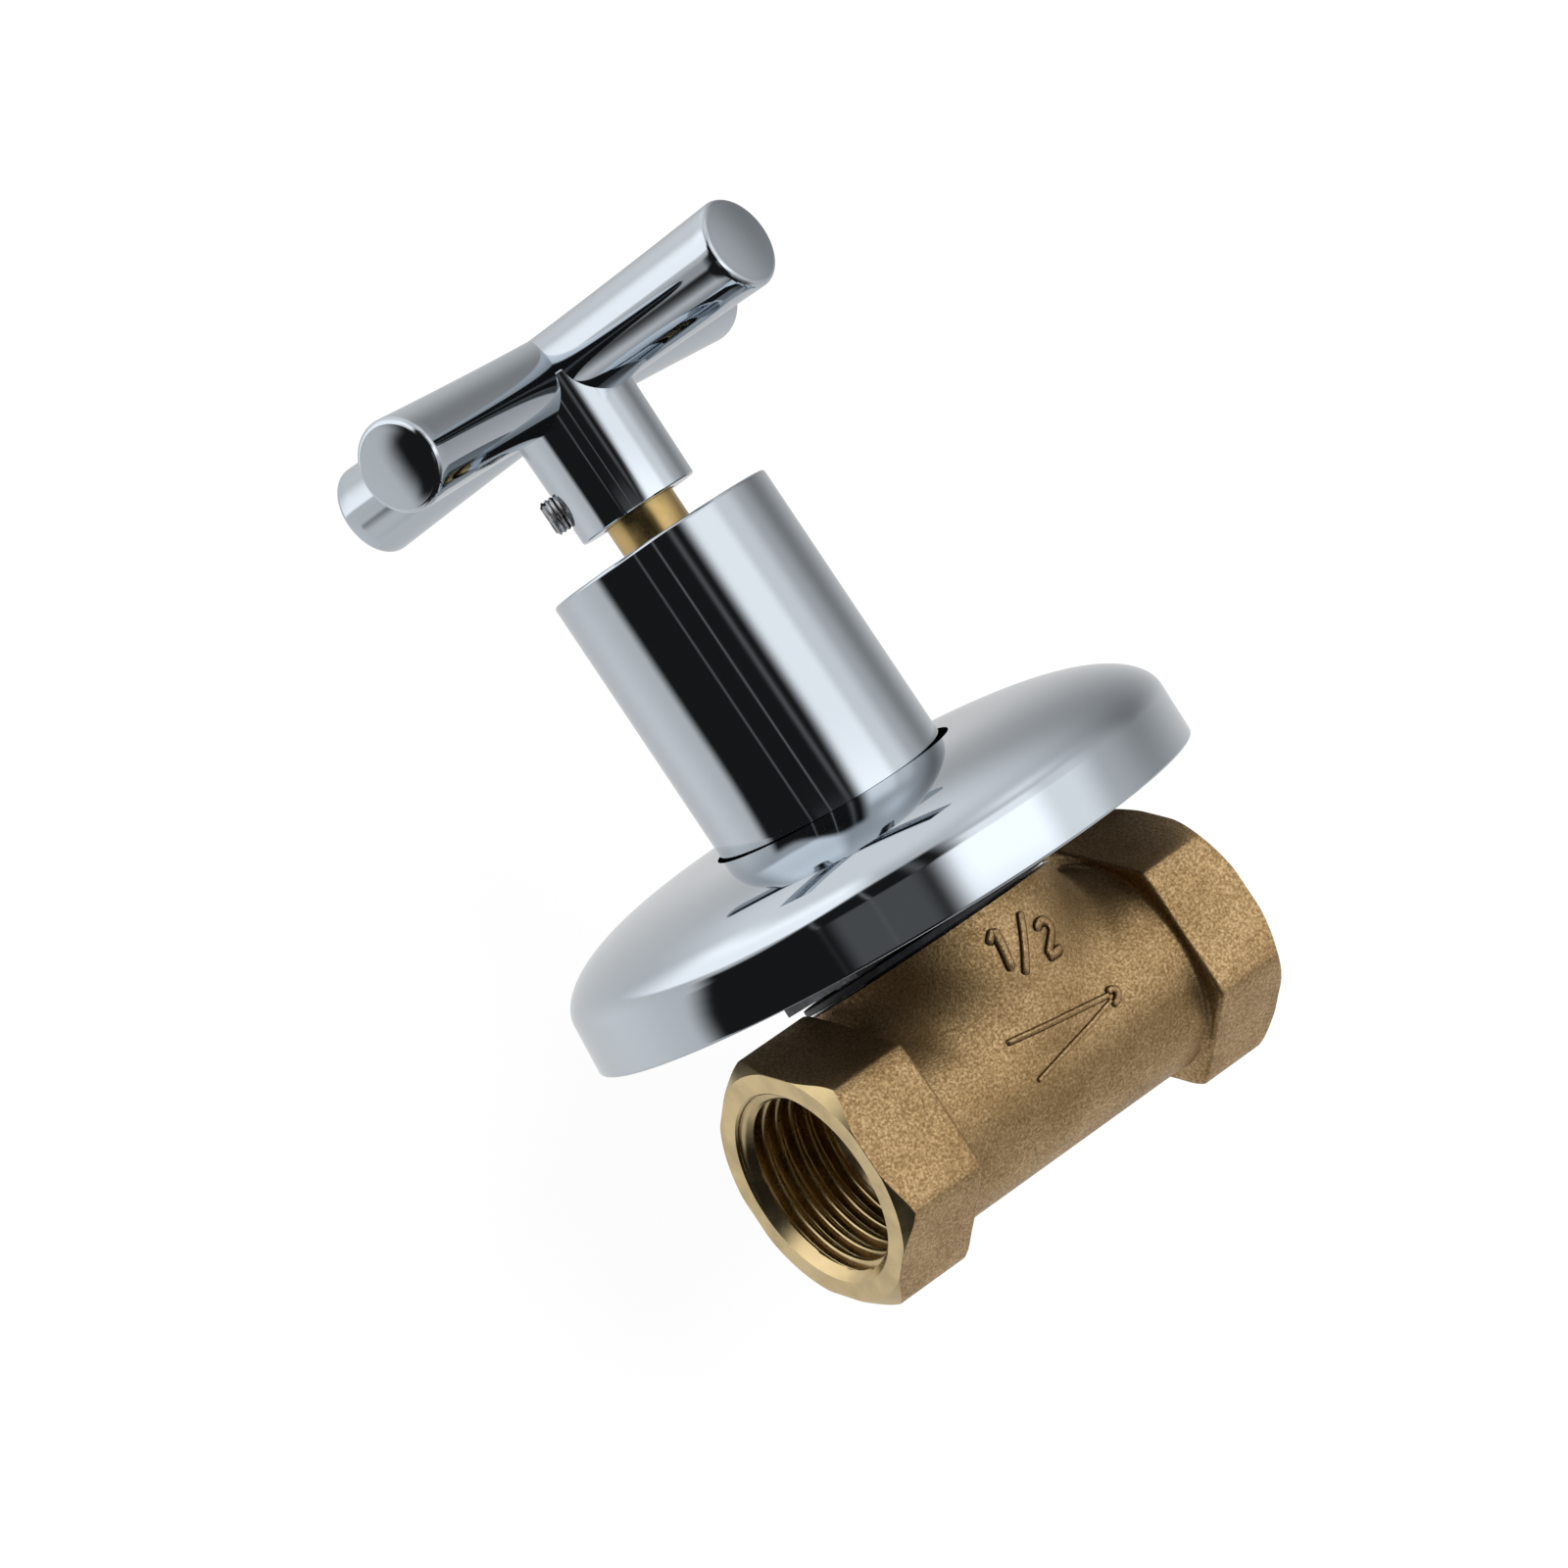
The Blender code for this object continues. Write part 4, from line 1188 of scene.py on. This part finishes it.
@dataclass
class StemParts:
    """What sits in and on the bonnet: gasket, jumper, spindle, packing and rubber rings."""

    finishes: Finishes
    thread_radius: float = 6.0
    thread_depth: float = 0.7
    thread_pitch: float = 2.0
    thread_low: float = 9.2
    thread_high: float = 20.2
    shaft_radius: float = 4.0
    collar_radius: float = 7.4
    collar_top: float = 9.0
    peg_bore: float = 2.7
    peg_bore_top: float = 16.0
    peg_radius: float = 2.4
    stud_radius: float = 1.7
    disc_radius: float = 7.6
    disc_thickness: float = 1.8
    washers: tuple[Washer, ...] = (
        Washer("gasket", "bonnet_gasket", Body.VALVE, Slot.RUBBER, 14.1, 10.8, 0.12),
        Washer("seat_washer", "jumper_washer", Body.JUMPER, Slot.RUBBER, 7.2, 2.0, 0.4),
        Washer("backing_plate", "washer_plate", Body.JUMPER, Slot.TURNED_BRASS, 4.4, 2.0),
        Washer("gland_washer", "packing_washer", Body.VALVE, Slot.TURNED_BRASS, 6.5, 4.3),
        Washer("packing_ring", "gland_packing", Body.VALVE, Slot.PACKING, 6.5, 4.3, 0.5),
    )
    rings: tuple[tuple[str, Body, float, float], ...] = (
        ("spindle_ring", Body.VALVE, 5.0, 0.8),
        ("sleeve_ring", Body.VALVE, 10.45, 0.65),
        ("plate_ring", Body.RING, 13.25, 0.65),
    )

    def flat_rings(self) -> None:
        """Make the gasket, the washers and the packing."""
        materials = {
            Slot.RUBBER: self.finishes.rubber,
            Slot.TURNED_BRASS: self.finishes.turned_stem,
            Slot.PACKING: self.finishes.packing,
        }
        for part in self.washers:
            material = materials[part.slot]
            piece = turned_piece(part.name, part.outline(), material, part.rounding)
            crease(piece, 50.0)
            dress(piece, part.body, part.slot, part.node)

    def jumper(self) -> None:
        """Make the jumper: peg, disc and stud in one turned piece."""
        low, high = span("jumper")
        seat = span("jumper_washer")[1] + 0.3
        disc_top = seat + self.disc_thickness
        piece = turned_piece("jumper_disc", [
            (0, high), (self.peg_radius, high), (self.peg_radius, disc_top),
            (self.disc_radius, disc_top), (self.disc_radius, seat), (self.stud_radius, seat),
            (self.stud_radius, low), (0, low),
        ], self.finishes.turned_stem, 0.25)
        crease(piece, 50.0)
        dress(piece, Body.JUMPER, Slot.TURNED_BRASS, "jumper")

    def round_rings(self) -> None:
        """Make the rubber rings, each at its node's height."""
        for node, body, middle, tube in self.rings:
            mesh = torus(node, middle, tube, sum(span(node)) / 2)
            piece = make_object(f"{node}_round", mesh, self.finishes.rubber)
            dress(piece, body, Slot.RUBBER, node)

    def spindle(self) -> None:
        """Make the rising spindle, with its thread as a helical wave on a turned shaft.

        The radius is the thread's less its depth times the wave, faded out at both ends.
        """
        bottom, top = span("spindle")
        low, high = self.thread_low, self.thread_high
        angle = once_round(96)
        height = np.linspace(low, high, 96)[:, None]
        shown = fade(height, low, low + 1.2) * (1 - fade(height, high - 1.0, high))
        groove = self.thread_depth * thread_wave(height, angle, self.thread_pitch) * shown
        head = np.array([
            (self.peg_bore, bottom), (self.collar_radius - 0.2, bottom),
            (self.collar_radius, bottom + 0.2), (self.collar_radius, self.collar_top),
            (self.collar_radius - 0.2, self.collar_top + 0.18),
        ])
        tail = np.array([
            (self.shaft_radius, high + 0.05), (self.shaft_radius, top - 0.6),
            (self.shaft_radius - 0.15, top - 0.25), (self.shaft_radius - 0.6, top),
        ])
        ends = [np.repeat(row[:, :1], angle.shape[1], 1) for row in (head, tail)]
        radius = np.concatenate((ends[0], self.thread_radius - groove, ends[1]))
        place = np.concatenate((head[:, 1:], height, tail[:, 1:]))
        material = self.finishes.turned_stem
        piece = closed_piece("spindle_shaft", stem_points(place, radius, angle), material)
        cutter = turned_piece("peg_bore", [
            (0, self.peg_bore_top), (self.peg_bore, self.peg_bore_top), (self.peg_bore, 0), (0, 0),
        ], material, SHARP, 64)
        combine(piece, [cutter], "DIFFERENCE")
        crease(piece, 40.0)
        dress(piece, Body.HANDLE, Slot.TURNED_BRASS, "spindle")

    def build(self) -> None:
        """Build every piece."""
        self.flat_rings()
        self.jumper()
        self.round_rings()
        self.spindle()


@dataclass
class CoverTube:
    """The chromed cover sleeve and the domed wall plate that slides on it."""

    finishes: Finishes
    sleeve_radius: float = 12.4
    sleeve_bore: float = 11.3
    sleeve_low: float = 20.3
    sleeve_high: float = 61.0
    sleeve_top_wall: float = 1.2
    rod_hole: float = 4.55
    plate_radius: float = 33.7
    plate_back: float = 18.3
    band_top: float = 23.6
    band_draft: float = 0.2
    dome_height: float = 6.9
    fullness: float = 2.45
    wall: float = 1.2
    lean: float = math.radians(6.8)
    ring_radius: float = 13.9
    ring_half: float = 0.85
    sleeve_gap: float = 0.2
    neck_width: float = 2.6
    neck_lip: float = 1.0

    def sleeve(self) -> None:
        """Make the tube, turned in at its top with a soft edge."""
        under = self.sleeve_high - self.sleeve_top_wall
        piece = turned_piece("cover_sleeve", [
            (self.rod_hole, self.sleeve_high), (self.sleeve_radius, self.sleeve_high),
            (self.sleeve_radius, self.sleeve_low), (self.sleeve_bore, self.sleeve_low),
            (self.sleeve_bore, under), (self.rod_hole, under),
        ], self.finishes.chrome, 0.4, 256)
        crease(piece, 50.0)
        dress(piece, Body.VALVE, Slot.CHROME, "sleeve")

    def dome(self, inset: float, bore: float, count: int) -> np.ndarray:
        """Make the dome's outline, a quarter of a full oval from the neck out to the band.

        The height falls by the dome's height times 1 - sqrt(1 - share^fullness), where share goes
        from 0 at the neck to 1 at the band, with its points crowded towards the band.

        Args:
            inset: How far the outline lies below the outer skin.
            bore: The radius at the neck.
            count: How many points.

        Returns:
            Radius and height points.
        """
        share = 1 - (1 - np.linspace(0, 1, count)) ** 2
        outer = self.plate_radius - self.band_draft - inset
        fall = 1 - np.sqrt(1 - share ** self.fullness)
        top = self.band_top + self.dome_height - inset
        return np.stack((bore + (outer - bore) * share, top - self.dome_height * fall), -1)

    def plate(self) -> None:
        """Make the wall plate, turned upright and then leaned about its rubber ring.

        The bore is as wide as the leaning plate needs to clear the sleeve, at both of its lips.
        The rows from the rim's back to the neck are the dull inner face.
        """
        half = self.ring_half + self.ring_radius * math.sin(self.lean)
        pivot = self.band_top + self.dome_height - self.neck_lip - half
        clear = self.sleeve_radius + self.sleeve_gap
        bore = (clear + (half + self.neck_lip) * math.sin(self.lean)) / math.cos(self.lean)
        outside = self.dome(0.0, bore, 56)
        under = self.dome(self.wall, bore, 30)[::-1]
        under = under[under[:, 0] > bore + self.neck_width]
        rim = [(radius, self.plate_back) for radius in
               (self.plate_radius, self.plate_radius - self.wall)]
        low, chamber = pivot - half, self.ring_radius + 0.2
        neck = [
            (bore + self.neck_width, low - self.neck_lip), (bore, low - self.neck_lip),
            (bore, low), (chamber, low), (chamber, pivot + half), (bore, pivot + half),
        ]
        edge = round_corners(np.concatenate((outside[-1:], rim, under[:1])), 0.3, False)[1:-1]
        collar = round_corners(np.concatenate((under[-1:], neck, outside[:1])), 0.2, False)[1:-1]
        outline = np.concatenate((outside, edge, under, collar))
        points = stem_points(outline[:, 1, None], outline[:, 0, None], once_round(320))
        centre = stem_points(np.array(pivot), np.array(0.0), np.array(0.0))
        turn = np.array(Matrix.Rotation(-self.lean, 3, "X"))
        points = (points - centre) @ turn.T + centre
        mesh = grid_mesh("domed_wall_plate", points, loop=True, clean=False)
        row, first = np.arange(len(outline)), len(outside) + len(edge) - 2
        inner = (row >= first) & (row < first + len(under) + 5)
        slots = np.repeat(inner, points.shape[1]).astype(np.int32)
        mesh.polygons.foreach_set("material_index", slots)
        tidy(mesh)
        materials = self.finishes.chrome, self.finishes.dull
        piece = make_object("domed_wall_plate", mesh, *materials)
        crease(piece, 50.0)
        dress(piece, Body.PLATE, Slot.CHROME, "wall_plate")

    def build(self) -> None:
        """Build both pieces."""
        self.sleeve()
        self.plate()


@dataclass
class CrossHandle:
    """The cross handle with its grub screw, and the brass rod that carries it."""

    finishes: Finishes
    arm_plane: float = 79.9
    arm_reach: float = 28.5
    root_radius: float = 4.4
    tip_radius: float = 4.85
    flare_power: float = 1.6
    end_round: float = 0.7
    end_crown: float = 0.3
    turn: float = math.radians(22.0)
    hub_radius: float = 6.7
    hub_bottom_radius: float = 6.5
    hub_bottom: float = 64.5
    rod_radius: float = 3.85
    rod_top: float = 76.4
    socket_radius: float = 6.2
    socket_bore: float = 4.3
    socket_depth: float = 9.0
    screw_hole: float = 1.6
    screw_height: float = 2.8
    clearance: float = 0.3
    grub_turn: float = math.radians(-30.0)
    grub_radius: float = 1.9
    grub_height: float = 4.0
    grub_stand: float = 1.4
    grub_pitch: float = 0.5
    grub_groove: float = 0.16
    slot_width: float = 0.7
    slot_depth: float = 0.7

    def across(
        self, distance: np.ndarray, radius: np.ndarray, angle: np.ndarray, height: float,
        turn: float,
    ) -> np.ndarray:
        """Place points given round an axis that crosses the stem.

        The side is radius sin(angle). x and z are distance and side turned round the stem, and
        y = -height - radius cos(angle).

        Args:
            distance: Distance along the axis from the stem.
            radius: Distance from that axis.
            angle: Angle round that axis, from the stem's direction.
            height: Where the axis crosses the stem.
            turn: The axis's own angle round the stem.

        Returns:
            The points in metres.
        """
        distance, radius, angle = np.broadcast_arrays(distance, radius, angle)
        side = radius * np.sin(angle)
        x = distance * math.cos(turn) - side * math.sin(turn)
        z = distance * math.sin(turn) + side * math.cos(turn)
        return np.stack((x - STEM_OFFSET, -height - radius * np.cos(angle), z), -1) * MM

    def bar(self, name: str, turn: float) -> bpy.types.Object:
        """Make two opposite arms as one bar.

        Its radius grows from the root's to the tip's with the distance from the stem to a power,
        and each end is a shallow crown with a quarter-round edge.

        Args:
            name: The bar's name.
            turn: The bar's angle round the stem.

        Returns:
            The bar.
        """
        inner = self.arm_reach - self.end_crown - self.end_round
        flat = self.tip_radius - self.end_round
        run = np.linspace(0, inner, 26)
        arc = np.linspace(0, 0.5 * math.pi, 9)[1:]
        share = np.linspace(1, 0, 10)[1:-1]
        flare = (self.tip_radius - self.root_radius) * (run / inner) ** self.flare_power
        shed = self.end_round * (1 - np.cos(arc))
        half = np.concatenate([np.stack(part, -1) for part in (
            (run, self.root_radius + flare),
            (inner + self.end_round * np.sin(arc), self.tip_radius - shed),
            (self.arm_reach - self.end_crown * share ** 2, flat * share),
        )])
        whole = np.concatenate((half[::-1] * (-1, 1), half[1:]))
        points = self.across(whole[:, :1], whole[:, 1:], once_round(160), self.arm_plane, turn)
        return closed_piece(name, points, self.finishes.chrome)

    def drill(
        self, name: str, length: float, radius: float, height: float, sides: int,
        material: bpy.types.Material,
    ) -> bpy.types.Object:
        """Make the cutter of a hole that leads from the stem out on the grub screw's side.

        Args:
            name: The cutter's name.
            length: How far it reaches from the stem.
            radius: The hole's radius.
            height: The hole's height up the stem.
            sides: Columns round the hole.
            material: What the hole's wall is made of.

        Returns:
            The cutter.
        """
        ends, radii = np.array([[0.0], [length]]), np.full((2, 1), radius)
        points = self.across(ends, radii, once_round(sides), height, self.grub_turn)
        return closed_piece(name, points, material)

    def handle(self) -> None:
        """Make two crossing bars and the hub in one, bored for the rod and the grub screw."""
        chrome = self.finishes.chrome
        piece = self.bar("chromed_cross_handle", self.turn)
        second = self.bar("second_bar", self.turn + math.pi / 2)
        hub = turned_piece("hub", [
            (0, self.arm_plane), (self.hub_radius, self.arm_plane),
            (self.hub_bottom_radius, self.hub_bottom), (0, self.hub_bottom),
        ], chrome, 0.3, 192)
        combine(piece, [second, hub], "UNION")
        radius, top, under = self.rod_radius + self.clearance, self.rod_top + self.clearance, 60.0
        bore = turned_piece("hub_bore", [(0, top), (radius, top), (radius, under), (0, under)],
                            chrome, SHARP, 128)
        height = self.hub_bottom + self.grub_height
        hole = self.drill("grub_hole", 14.0, self.grub_radius + self.clearance, height, 64, chrome)
        combine(piece, [bore, hole], "DIFFERENCE")
        crease(piece, 9.0)
        dress(piece, Body.HANDLE, Slot.CHROME, "cross_handle")

    def grub_screw(self) -> None:
        """Make the slotted grub screw, a pin with its thread as a cosine along it."""
        steel, height = self.finishes.steel, self.hub_bottom + self.grub_height
        tip = self.hub_radius + self.grub_stand
        run = np.linspace(self.rod_radius + self.clearance, tip, 60)
        end = fade(run, tip - 0.35, tip) + 1 - fade(run, run[0], run[0] + 0.4)
        wave = 0.5 + 0.5 * np.cos(2 * math.pi * run / self.grub_pitch)
        radius = self.grub_radius - self.grub_groove * wave - 0.25 * end
        points = self.across(run[:, None], radius[:, None], once_round(64), height, self.grub_turn)
        piece = closed_piece("slotted_grub_screw", points, steel)
        corners = np.array([(-1, -1), (1, -1), (1, 1), (-1, 1)]) * (2.4, self.slot_width / 2)
        reach = np.hypot(*corners.T)[None, :]
        spin = np.arctan2(corners[:, 1], corners[:, 0])[None, :] + 0.5
        depth = np.array([[tip - self.slot_depth], [tip + 1.0]])
        points = self.across(depth, reach, spin, height, self.grub_turn)
        combine(piece, [closed_piece("slot", points, steel)], "DIFFERENCE")
        crease(piece, 35.0)
        dress(piece, Body.HANDLE, Slot.STEEL, "grub_screw")

    def rod(self) -> None:
        """Make the rod with its socket and chamfered tip."""
        brass = self.finishes.turned_stem
        bottom, top = span("spindle_extension")
        spindle_top = span("spindle")[1] + self.clearance
        socket_top = bottom + self.socket_depth
        piece = turned_piece("extension_rod", [
            (0, top), (self.rod_radius - 0.6, top), (self.rod_radius, top - 0.6),
            (self.rod_radius, socket_top), (self.socket_radius - 1.0, socket_top),
            (self.socket_radius, socket_top - 1.0), (self.socket_radius, bottom),
            (self.socket_bore, bottom), (self.socket_bore, spindle_top), (0, spindle_top),
        ], brass, 0.12, 128)
        height = bottom + self.screw_height
        hole = self.drill("screw_hole", 12.4, self.screw_hole, height, 48, brass)
        combine(piece, [hole], "DIFFERENCE")
        crease(piece, 40.0)
        dress(piece, Body.HANDLE, Slot.TURNED_BRASS, "spindle_extension")

    def build(self) -> None:
        """Build the handle, its screw and its rod."""
        self.handle()
        self.grub_screw()
        self.rod()


def dress_nodes(finishes: Finishes) -> None:
    """Give the CAD nodes that stay their materials.

    Args:
        finishes: The valve's finishes.
    """
    for node, material in (
        # The bonnet's near-black brass is partly painted shade under the wall plate.
        ("bonnet", finishes.blackened_and_shaded), ("gland_nut", finishes.turned_stem),
        ("washer_nut", finishes.turned_stem), ("extension_screw", finishes.steel),
    ):
        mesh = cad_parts[node].data
        mesh.materials.clear()
        mesh.materials.append(material)
        log.info("%s keeps its CAD shape", node)


# Studio


@dataclass
class LightTent:
    """What the chrome mirrors: a tent round the valve with a soft box overhead and a dark flag.

    A direction is given by its turn round the stem, in degrees from +X towards +Z, and its tilt
    towards the handle's end of the stem.
    """

    reach: float = 2.5
    floor_gap: float = 0.095
    room: float = 0.74
    darkest: float = 0.01
    columns: int = 960
    rows: int = 121

    @staticmethod
    def lobe(
        turn: np.ndarray, tilt: np.ndarray, place: tuple[float, float], size: tuple[float, float]
    ) -> np.ndarray:
        """Make a soft spot: exp(-(turn away / its width)^2 - (tilt away / its height)^2).

        Args:
            turn: Turns round the stem in degrees.
            tilt: Tilts towards the handle's end in degrees.
            place: The spot's turn and tilt.
            size: Its width and height in degrees.

        Returns:
            The spot's brightness, 1 at its middle.
        """
        away = np.mod(turn - place[0] + 180.0, 360.0) - 180.0
        return np.exp(-(away / size[0]) ** 2 - ((tilt - place[1]) / size[1]) ** 2)

    @staticmethod
    def strip(turn: np.ndarray, edges: tuple[float, float, float, float]) -> np.ndarray:
        """Rise smoothly between the first two turns and fall between the last two."""
        away = np.mod(turn + 90.0, 360.0) - 90.0
        return fade(away, edges[0], edges[1]) * (1 - fade(away, edges[2], edges[3]))

    def lights(self, turn: np.ndarray, near: np.ndarray, tilt: np.ndarray) -> np.ndarray:
        """Give the brightness of the lights without the flag.

        An even room, plus the soft box over the handle, a small one beside it, a faint glow and an
        upright window strip, less the shade of the far corner.

        Args:
            turn: Turns round the stem in degrees.
            near: The same turns, bent a little towards the handle's end for what stands nearest.
            tilt: Tilts towards the handle's end in degrees.

        Returns:
            The brightness, where 1 is white.
        """
        light = self.room + 0.34 * fade(tilt, 38.0, 76.0)
        soft_box = self.strip(turn, (-62.0, -22.0, 44.0, 66.0)) * fade(tilt, 23.0, 27.5)
        light = light + 0.78 * soft_box * (1 - fade(tilt, 54.0, 76.0))
        for strength, place, size in (
            (0.50, (122.0, 37.0), (22.0, 11.0)), (-0.34, (-165.0, 28.0), (42.0, 24.0)),
            (-0.32, (177.0, 0.0), (19.0, 28.0)), (0.20, (-48.0, 0.0), (20.0, 24.0)),
        ):
            light = light + strength * self.lobe(turn, tilt, place, size)
        window = self.strip(near, (76.0, 97.0, 114.0, 126.0))
        window = window + 0.45 * self.strip(turn, (114.0, 126.0, 134.0, 152.0))
        band = 1 - fade(np.abs(tilt), 14.0, 27.0)
        return light + (0.68 + 0.40 * fade(-tilt, 1.0, 8.0)) * window * band

    def slits(self, turn: np.ndarray, tilt: np.ndarray) -> np.ndarray:
        """Give the brightness of the three thin slits in the flag, and of the paler part below.

        Args:
            turn: Turns round the stem in degrees.
            tilt: Tilts towards the handle's end in degrees.

        Returns:
            The brightness that the flag lets through.
        """
        light = 0.0
        for strength, place, width in ((0.13, 32.0, 0.9), (0.18, 52.0, 0.8), (0.11, 71.0, 2.6)):
            light = light + strength * self.lobe(turn, 0 * tilt, (place, 0.0), (width, 1.0))
        light = light * (0.12 + 0.88 * fade(tilt, -8.0, -3.0))
        paler = self.strip(turn, (33.0, 40.0, 66.0, 74.0)) * (1 - fade(tilt, -8.0, -4.0))
        return light + 0.10 * paler * fade(tilt, -24.0, -17.0)

    def level(self, turn: np.ndarray, tilt: np.ndarray) -> np.ndarray:
        """Give the tent's brightness: the lights, dimmed by the dark flag, plus its slits.

        Args:
            turn: Turns round the stem in degrees.
            tilt: Tilts towards the handle's end in degrees.

        Returns:
            The brightness, where 1 is white.
        """
        wide = turn + 0 * tilt
        near = wide + 7.0 * fade(-tilt, 0.0, 9.0) * (wide < 104.0)
        top = 14.0 + 19.0 * fade(wide, 5.0, 62.0)
        flag = self.strip(near, (-18.0, -7.0, 78.0, 92.0)) * (1 - fade(tilt, top - 2.0, top + 7.0))
        low = self.strip(wide, (-58.0, -34.0, 128.0, 168.0)) * (1 - fade(tilt, -54.0, -28.0))
        flag = np.maximum(flag, 0.85 * low)
        light = self.lights(wide, near, tilt) * (1 - 0.98 * flag)
        return np.maximum(light + self.slits(wide, tilt) * flag, self.darkest)

    def build(self) -> None:
        """Build the tent as a sphere, flattened just above the floor, that only mirrors see.

        A point is the middle plus its direction times the reach, or times what reaches the floor.
        """
        turn = np.linspace(-180.0, 180.0, self.columns, endpoint=False)[None, :]
        tilt = np.linspace(-89.5, 89.5, self.rows)[:, None]
        a, e = np.radians(turn), np.radians(tilt)
        way = np.stack((np.cos(e) * np.cos(a), -np.sin(e) + 0 * a, np.cos(e) * np.sin(a)), -1)
        reach = np.minimum(self.reach, self.floor_gap / np.maximum(-way[..., 2], 1e-6))
        points = np.array(VALVE_MIDDLE) + way * reach[..., None]
        mesh = grid_mesh("light_tent", points, clean=False)
        light = self.level(turn, tilt).ravel()
        light = np.concatenate((light, (light[0], light[-1])))
        attribute = mesh.attributes.new("light", "FLOAT", "POINT")
        attribute.data.foreach_set("value", light.astype(np.float32))
        bench = NodeBench.material("light tent")
        glow = bench.add("ShaderNodeEmission")
        source = bench.add("ShaderNodeAttribute", attribute_name="light")
        bench.link(source.outputs["Fac"], glow.inputs["Strength"])
        bench.show(glow)
        tent = make_object("light_tent", mesh, bench.owner)
        tent.visible_camera = tent.visible_diffuse = tent.visible_shadow = False
        tent.visible_transmission = tent.visible_volume_scatter = False


@dataclass
class Studio:
    """A pale floor, a white world, soft lamps, and the tent that chrome mirrors."""

    floor_height: float = -0.10
    floor_reach: float = 6.0
    floor_grey: float = 0.8
    seen_grey: float = 0.16
    seen_glow: float = 0.92
    ambient: float = 0.22
    focal_length: float = 184.51
    shift: tuple[float, float] = (-0.0022, -0.0014)

    def floor(self) -> None:
        """Make a white floor that shows the object's soft shadow to the camera and to mirrors."""
        mesh = bpy.data.meshes.new("floor")
        ends = (-self.floor_reach, self.floor_reach)
        corners = [(x, y, self.floor_height) for x, y in
                   ((ends[0], ends[0]), (ends[1], ends[0]), (ends[1], ends[1]), (ends[0], ends[1]))]
        mesh.from_pydata(corners, [], [(0, 1, 2, 3)])
        bench = NodeBench.material("white floor")
        unseen = bench.add("ShaderNodeBsdfDiffuse")
        unseen.inputs["Color"].default_value = (*[self.floor_grey] * 3, 1.0)
        seen = bench.add("ShaderNodeBsdfDiffuse")
        seen.inputs["Color"].default_value = (*[self.seen_grey] * 3, 1.0)
        glow = bench.add("ShaderNodeEmission", Strength=self.seen_glow)
        both = bench.add("ShaderNodeAddShader")
        mix = bench.add("ShaderNodeMixShader")
        bench.link(seen.outputs[0], both.inputs[0])
        bench.link(glow.outputs[0], both.inputs[1])
        bench.link(self.watched(bench), mix.inputs["Fac"])
        bench.link(unseen.outputs[0], mix.inputs[1])
        bench.link(both.outputs[0], mix.inputs[2])
        bench.show(mix)
        make_object("floor", mesh, bench.owner)

    @staticmethod
    def watched(bench: NodeBench) -> bpy.types.NodeSocket:
        """Tell the rays of the camera, of mirrors and of glass from the rest.

        Args:
            bench: The node tree to put the nodes in.

        Returns:
            A socket that is 1 for those rays and 0 for the rest.
        """
        path = bench.add("ShaderNodeLightPath")
        first = bench.math("MAXIMUM", path.outputs["Is Camera Ray"], path.outputs["Is Glossy Ray"])
        return bench.math("MAXIMUM", first, path.outputs["Is Transmission Ray"])

    def world(self) -> None:
        """Make a world that is white to camera and mirrors, and lights the object dimly."""
        world = bpy.data.worlds.new("studio")
        world.use_nodes = True
        bpy.context.scene.world = world
        bench = NodeBench(world)
        back = bench.tree.nodes["Background"]
        back.inputs["Color"].default_value = (1.0, 1.0, 1.0, 1.0)
        strength = bench.math(
            "MULTIPLY_ADD", self.watched(bench), 1.0 - self.ambient, self.ambient)
        bench.link(strength, back.inputs["Strength"])

    def lamp(self, name: str, place: tuple[float, float, float], size: float, power: float) -> None:
        """Hang a soft area lamp that points at the valve and isn't seen in reflections.

        Args:
            name: The lamp's name.
            place: Where it hangs, in metres.
            size: The disk's diameter in metres.
            power: Its power in watts.
        """
        data = bpy.data.lights.new(name, "AREA")
        data.shape, data.size, data.energy = "DISK", size, power
        lamp = bpy.data.objects.new(name, data)
        bpy.context.scene.collection.objects.link(lamp)
        lamp.location = place
        offset = np.array(place) - VALVE_MIDDLE
        lamp.rotation_euler = Vector(offset.tolist()).to_track_quat("Z", "Y").to_euler()
        lamp.visible_glossy = False

    def camera(self) -> None:
        """Put the camera at the photograph's place, with its axes as three columns."""
        data = bpy.data.cameras.new("camera")
        data.sensor_width, data.lens = 36.0, self.focal_length
        data.shift_x, data.shift_y = self.shift
        data.clip_start, data.clip_end = 0.01, 20.0
        camera = bpy.data.objects.new("camera", data)
        bpy.context.scene.collection.objects.link(camera)
        camera.matrix_world = Matrix((
            (-0.714660, -0.478009, 0.510655, 0.380341),
            (0.555778, -0.831330, -0.000373, -0.034328),
            (0.424701, 0.283545, 0.859786, 0.679540),
            (0.0, 0.0, 0.0, 1.0),
        ))
        bpy.context.scene.camera = camera

    def build(self) -> None:
        """Build the whole studio."""
        bpy.context.scene.view_settings.view_transform = "Standard"
        self.camera()
        self.world()
        self.floor()
        LightTent().build()
        self.lamp("key", (0.20, -0.12, 1.25), 0.5, 10.5)
        self.lamp("fill", (-0.75, 0.25, 1.0), 0.8, 3.0)


def main() -> None:
    """Build the studio and every sub-assembly."""
    logging.basicConfig(level=logging.INFO, format="%(name)s %(message)s")
    Studio().build()
    finishes = Finishes()
    Casting(finishes).build()
    StemParts(finishes).build()
    CoverTube(finishes).build()
    CrossHandle(finishes).build()
    dress_nodes(finishes)


if __name__ == "__main__":
    main()
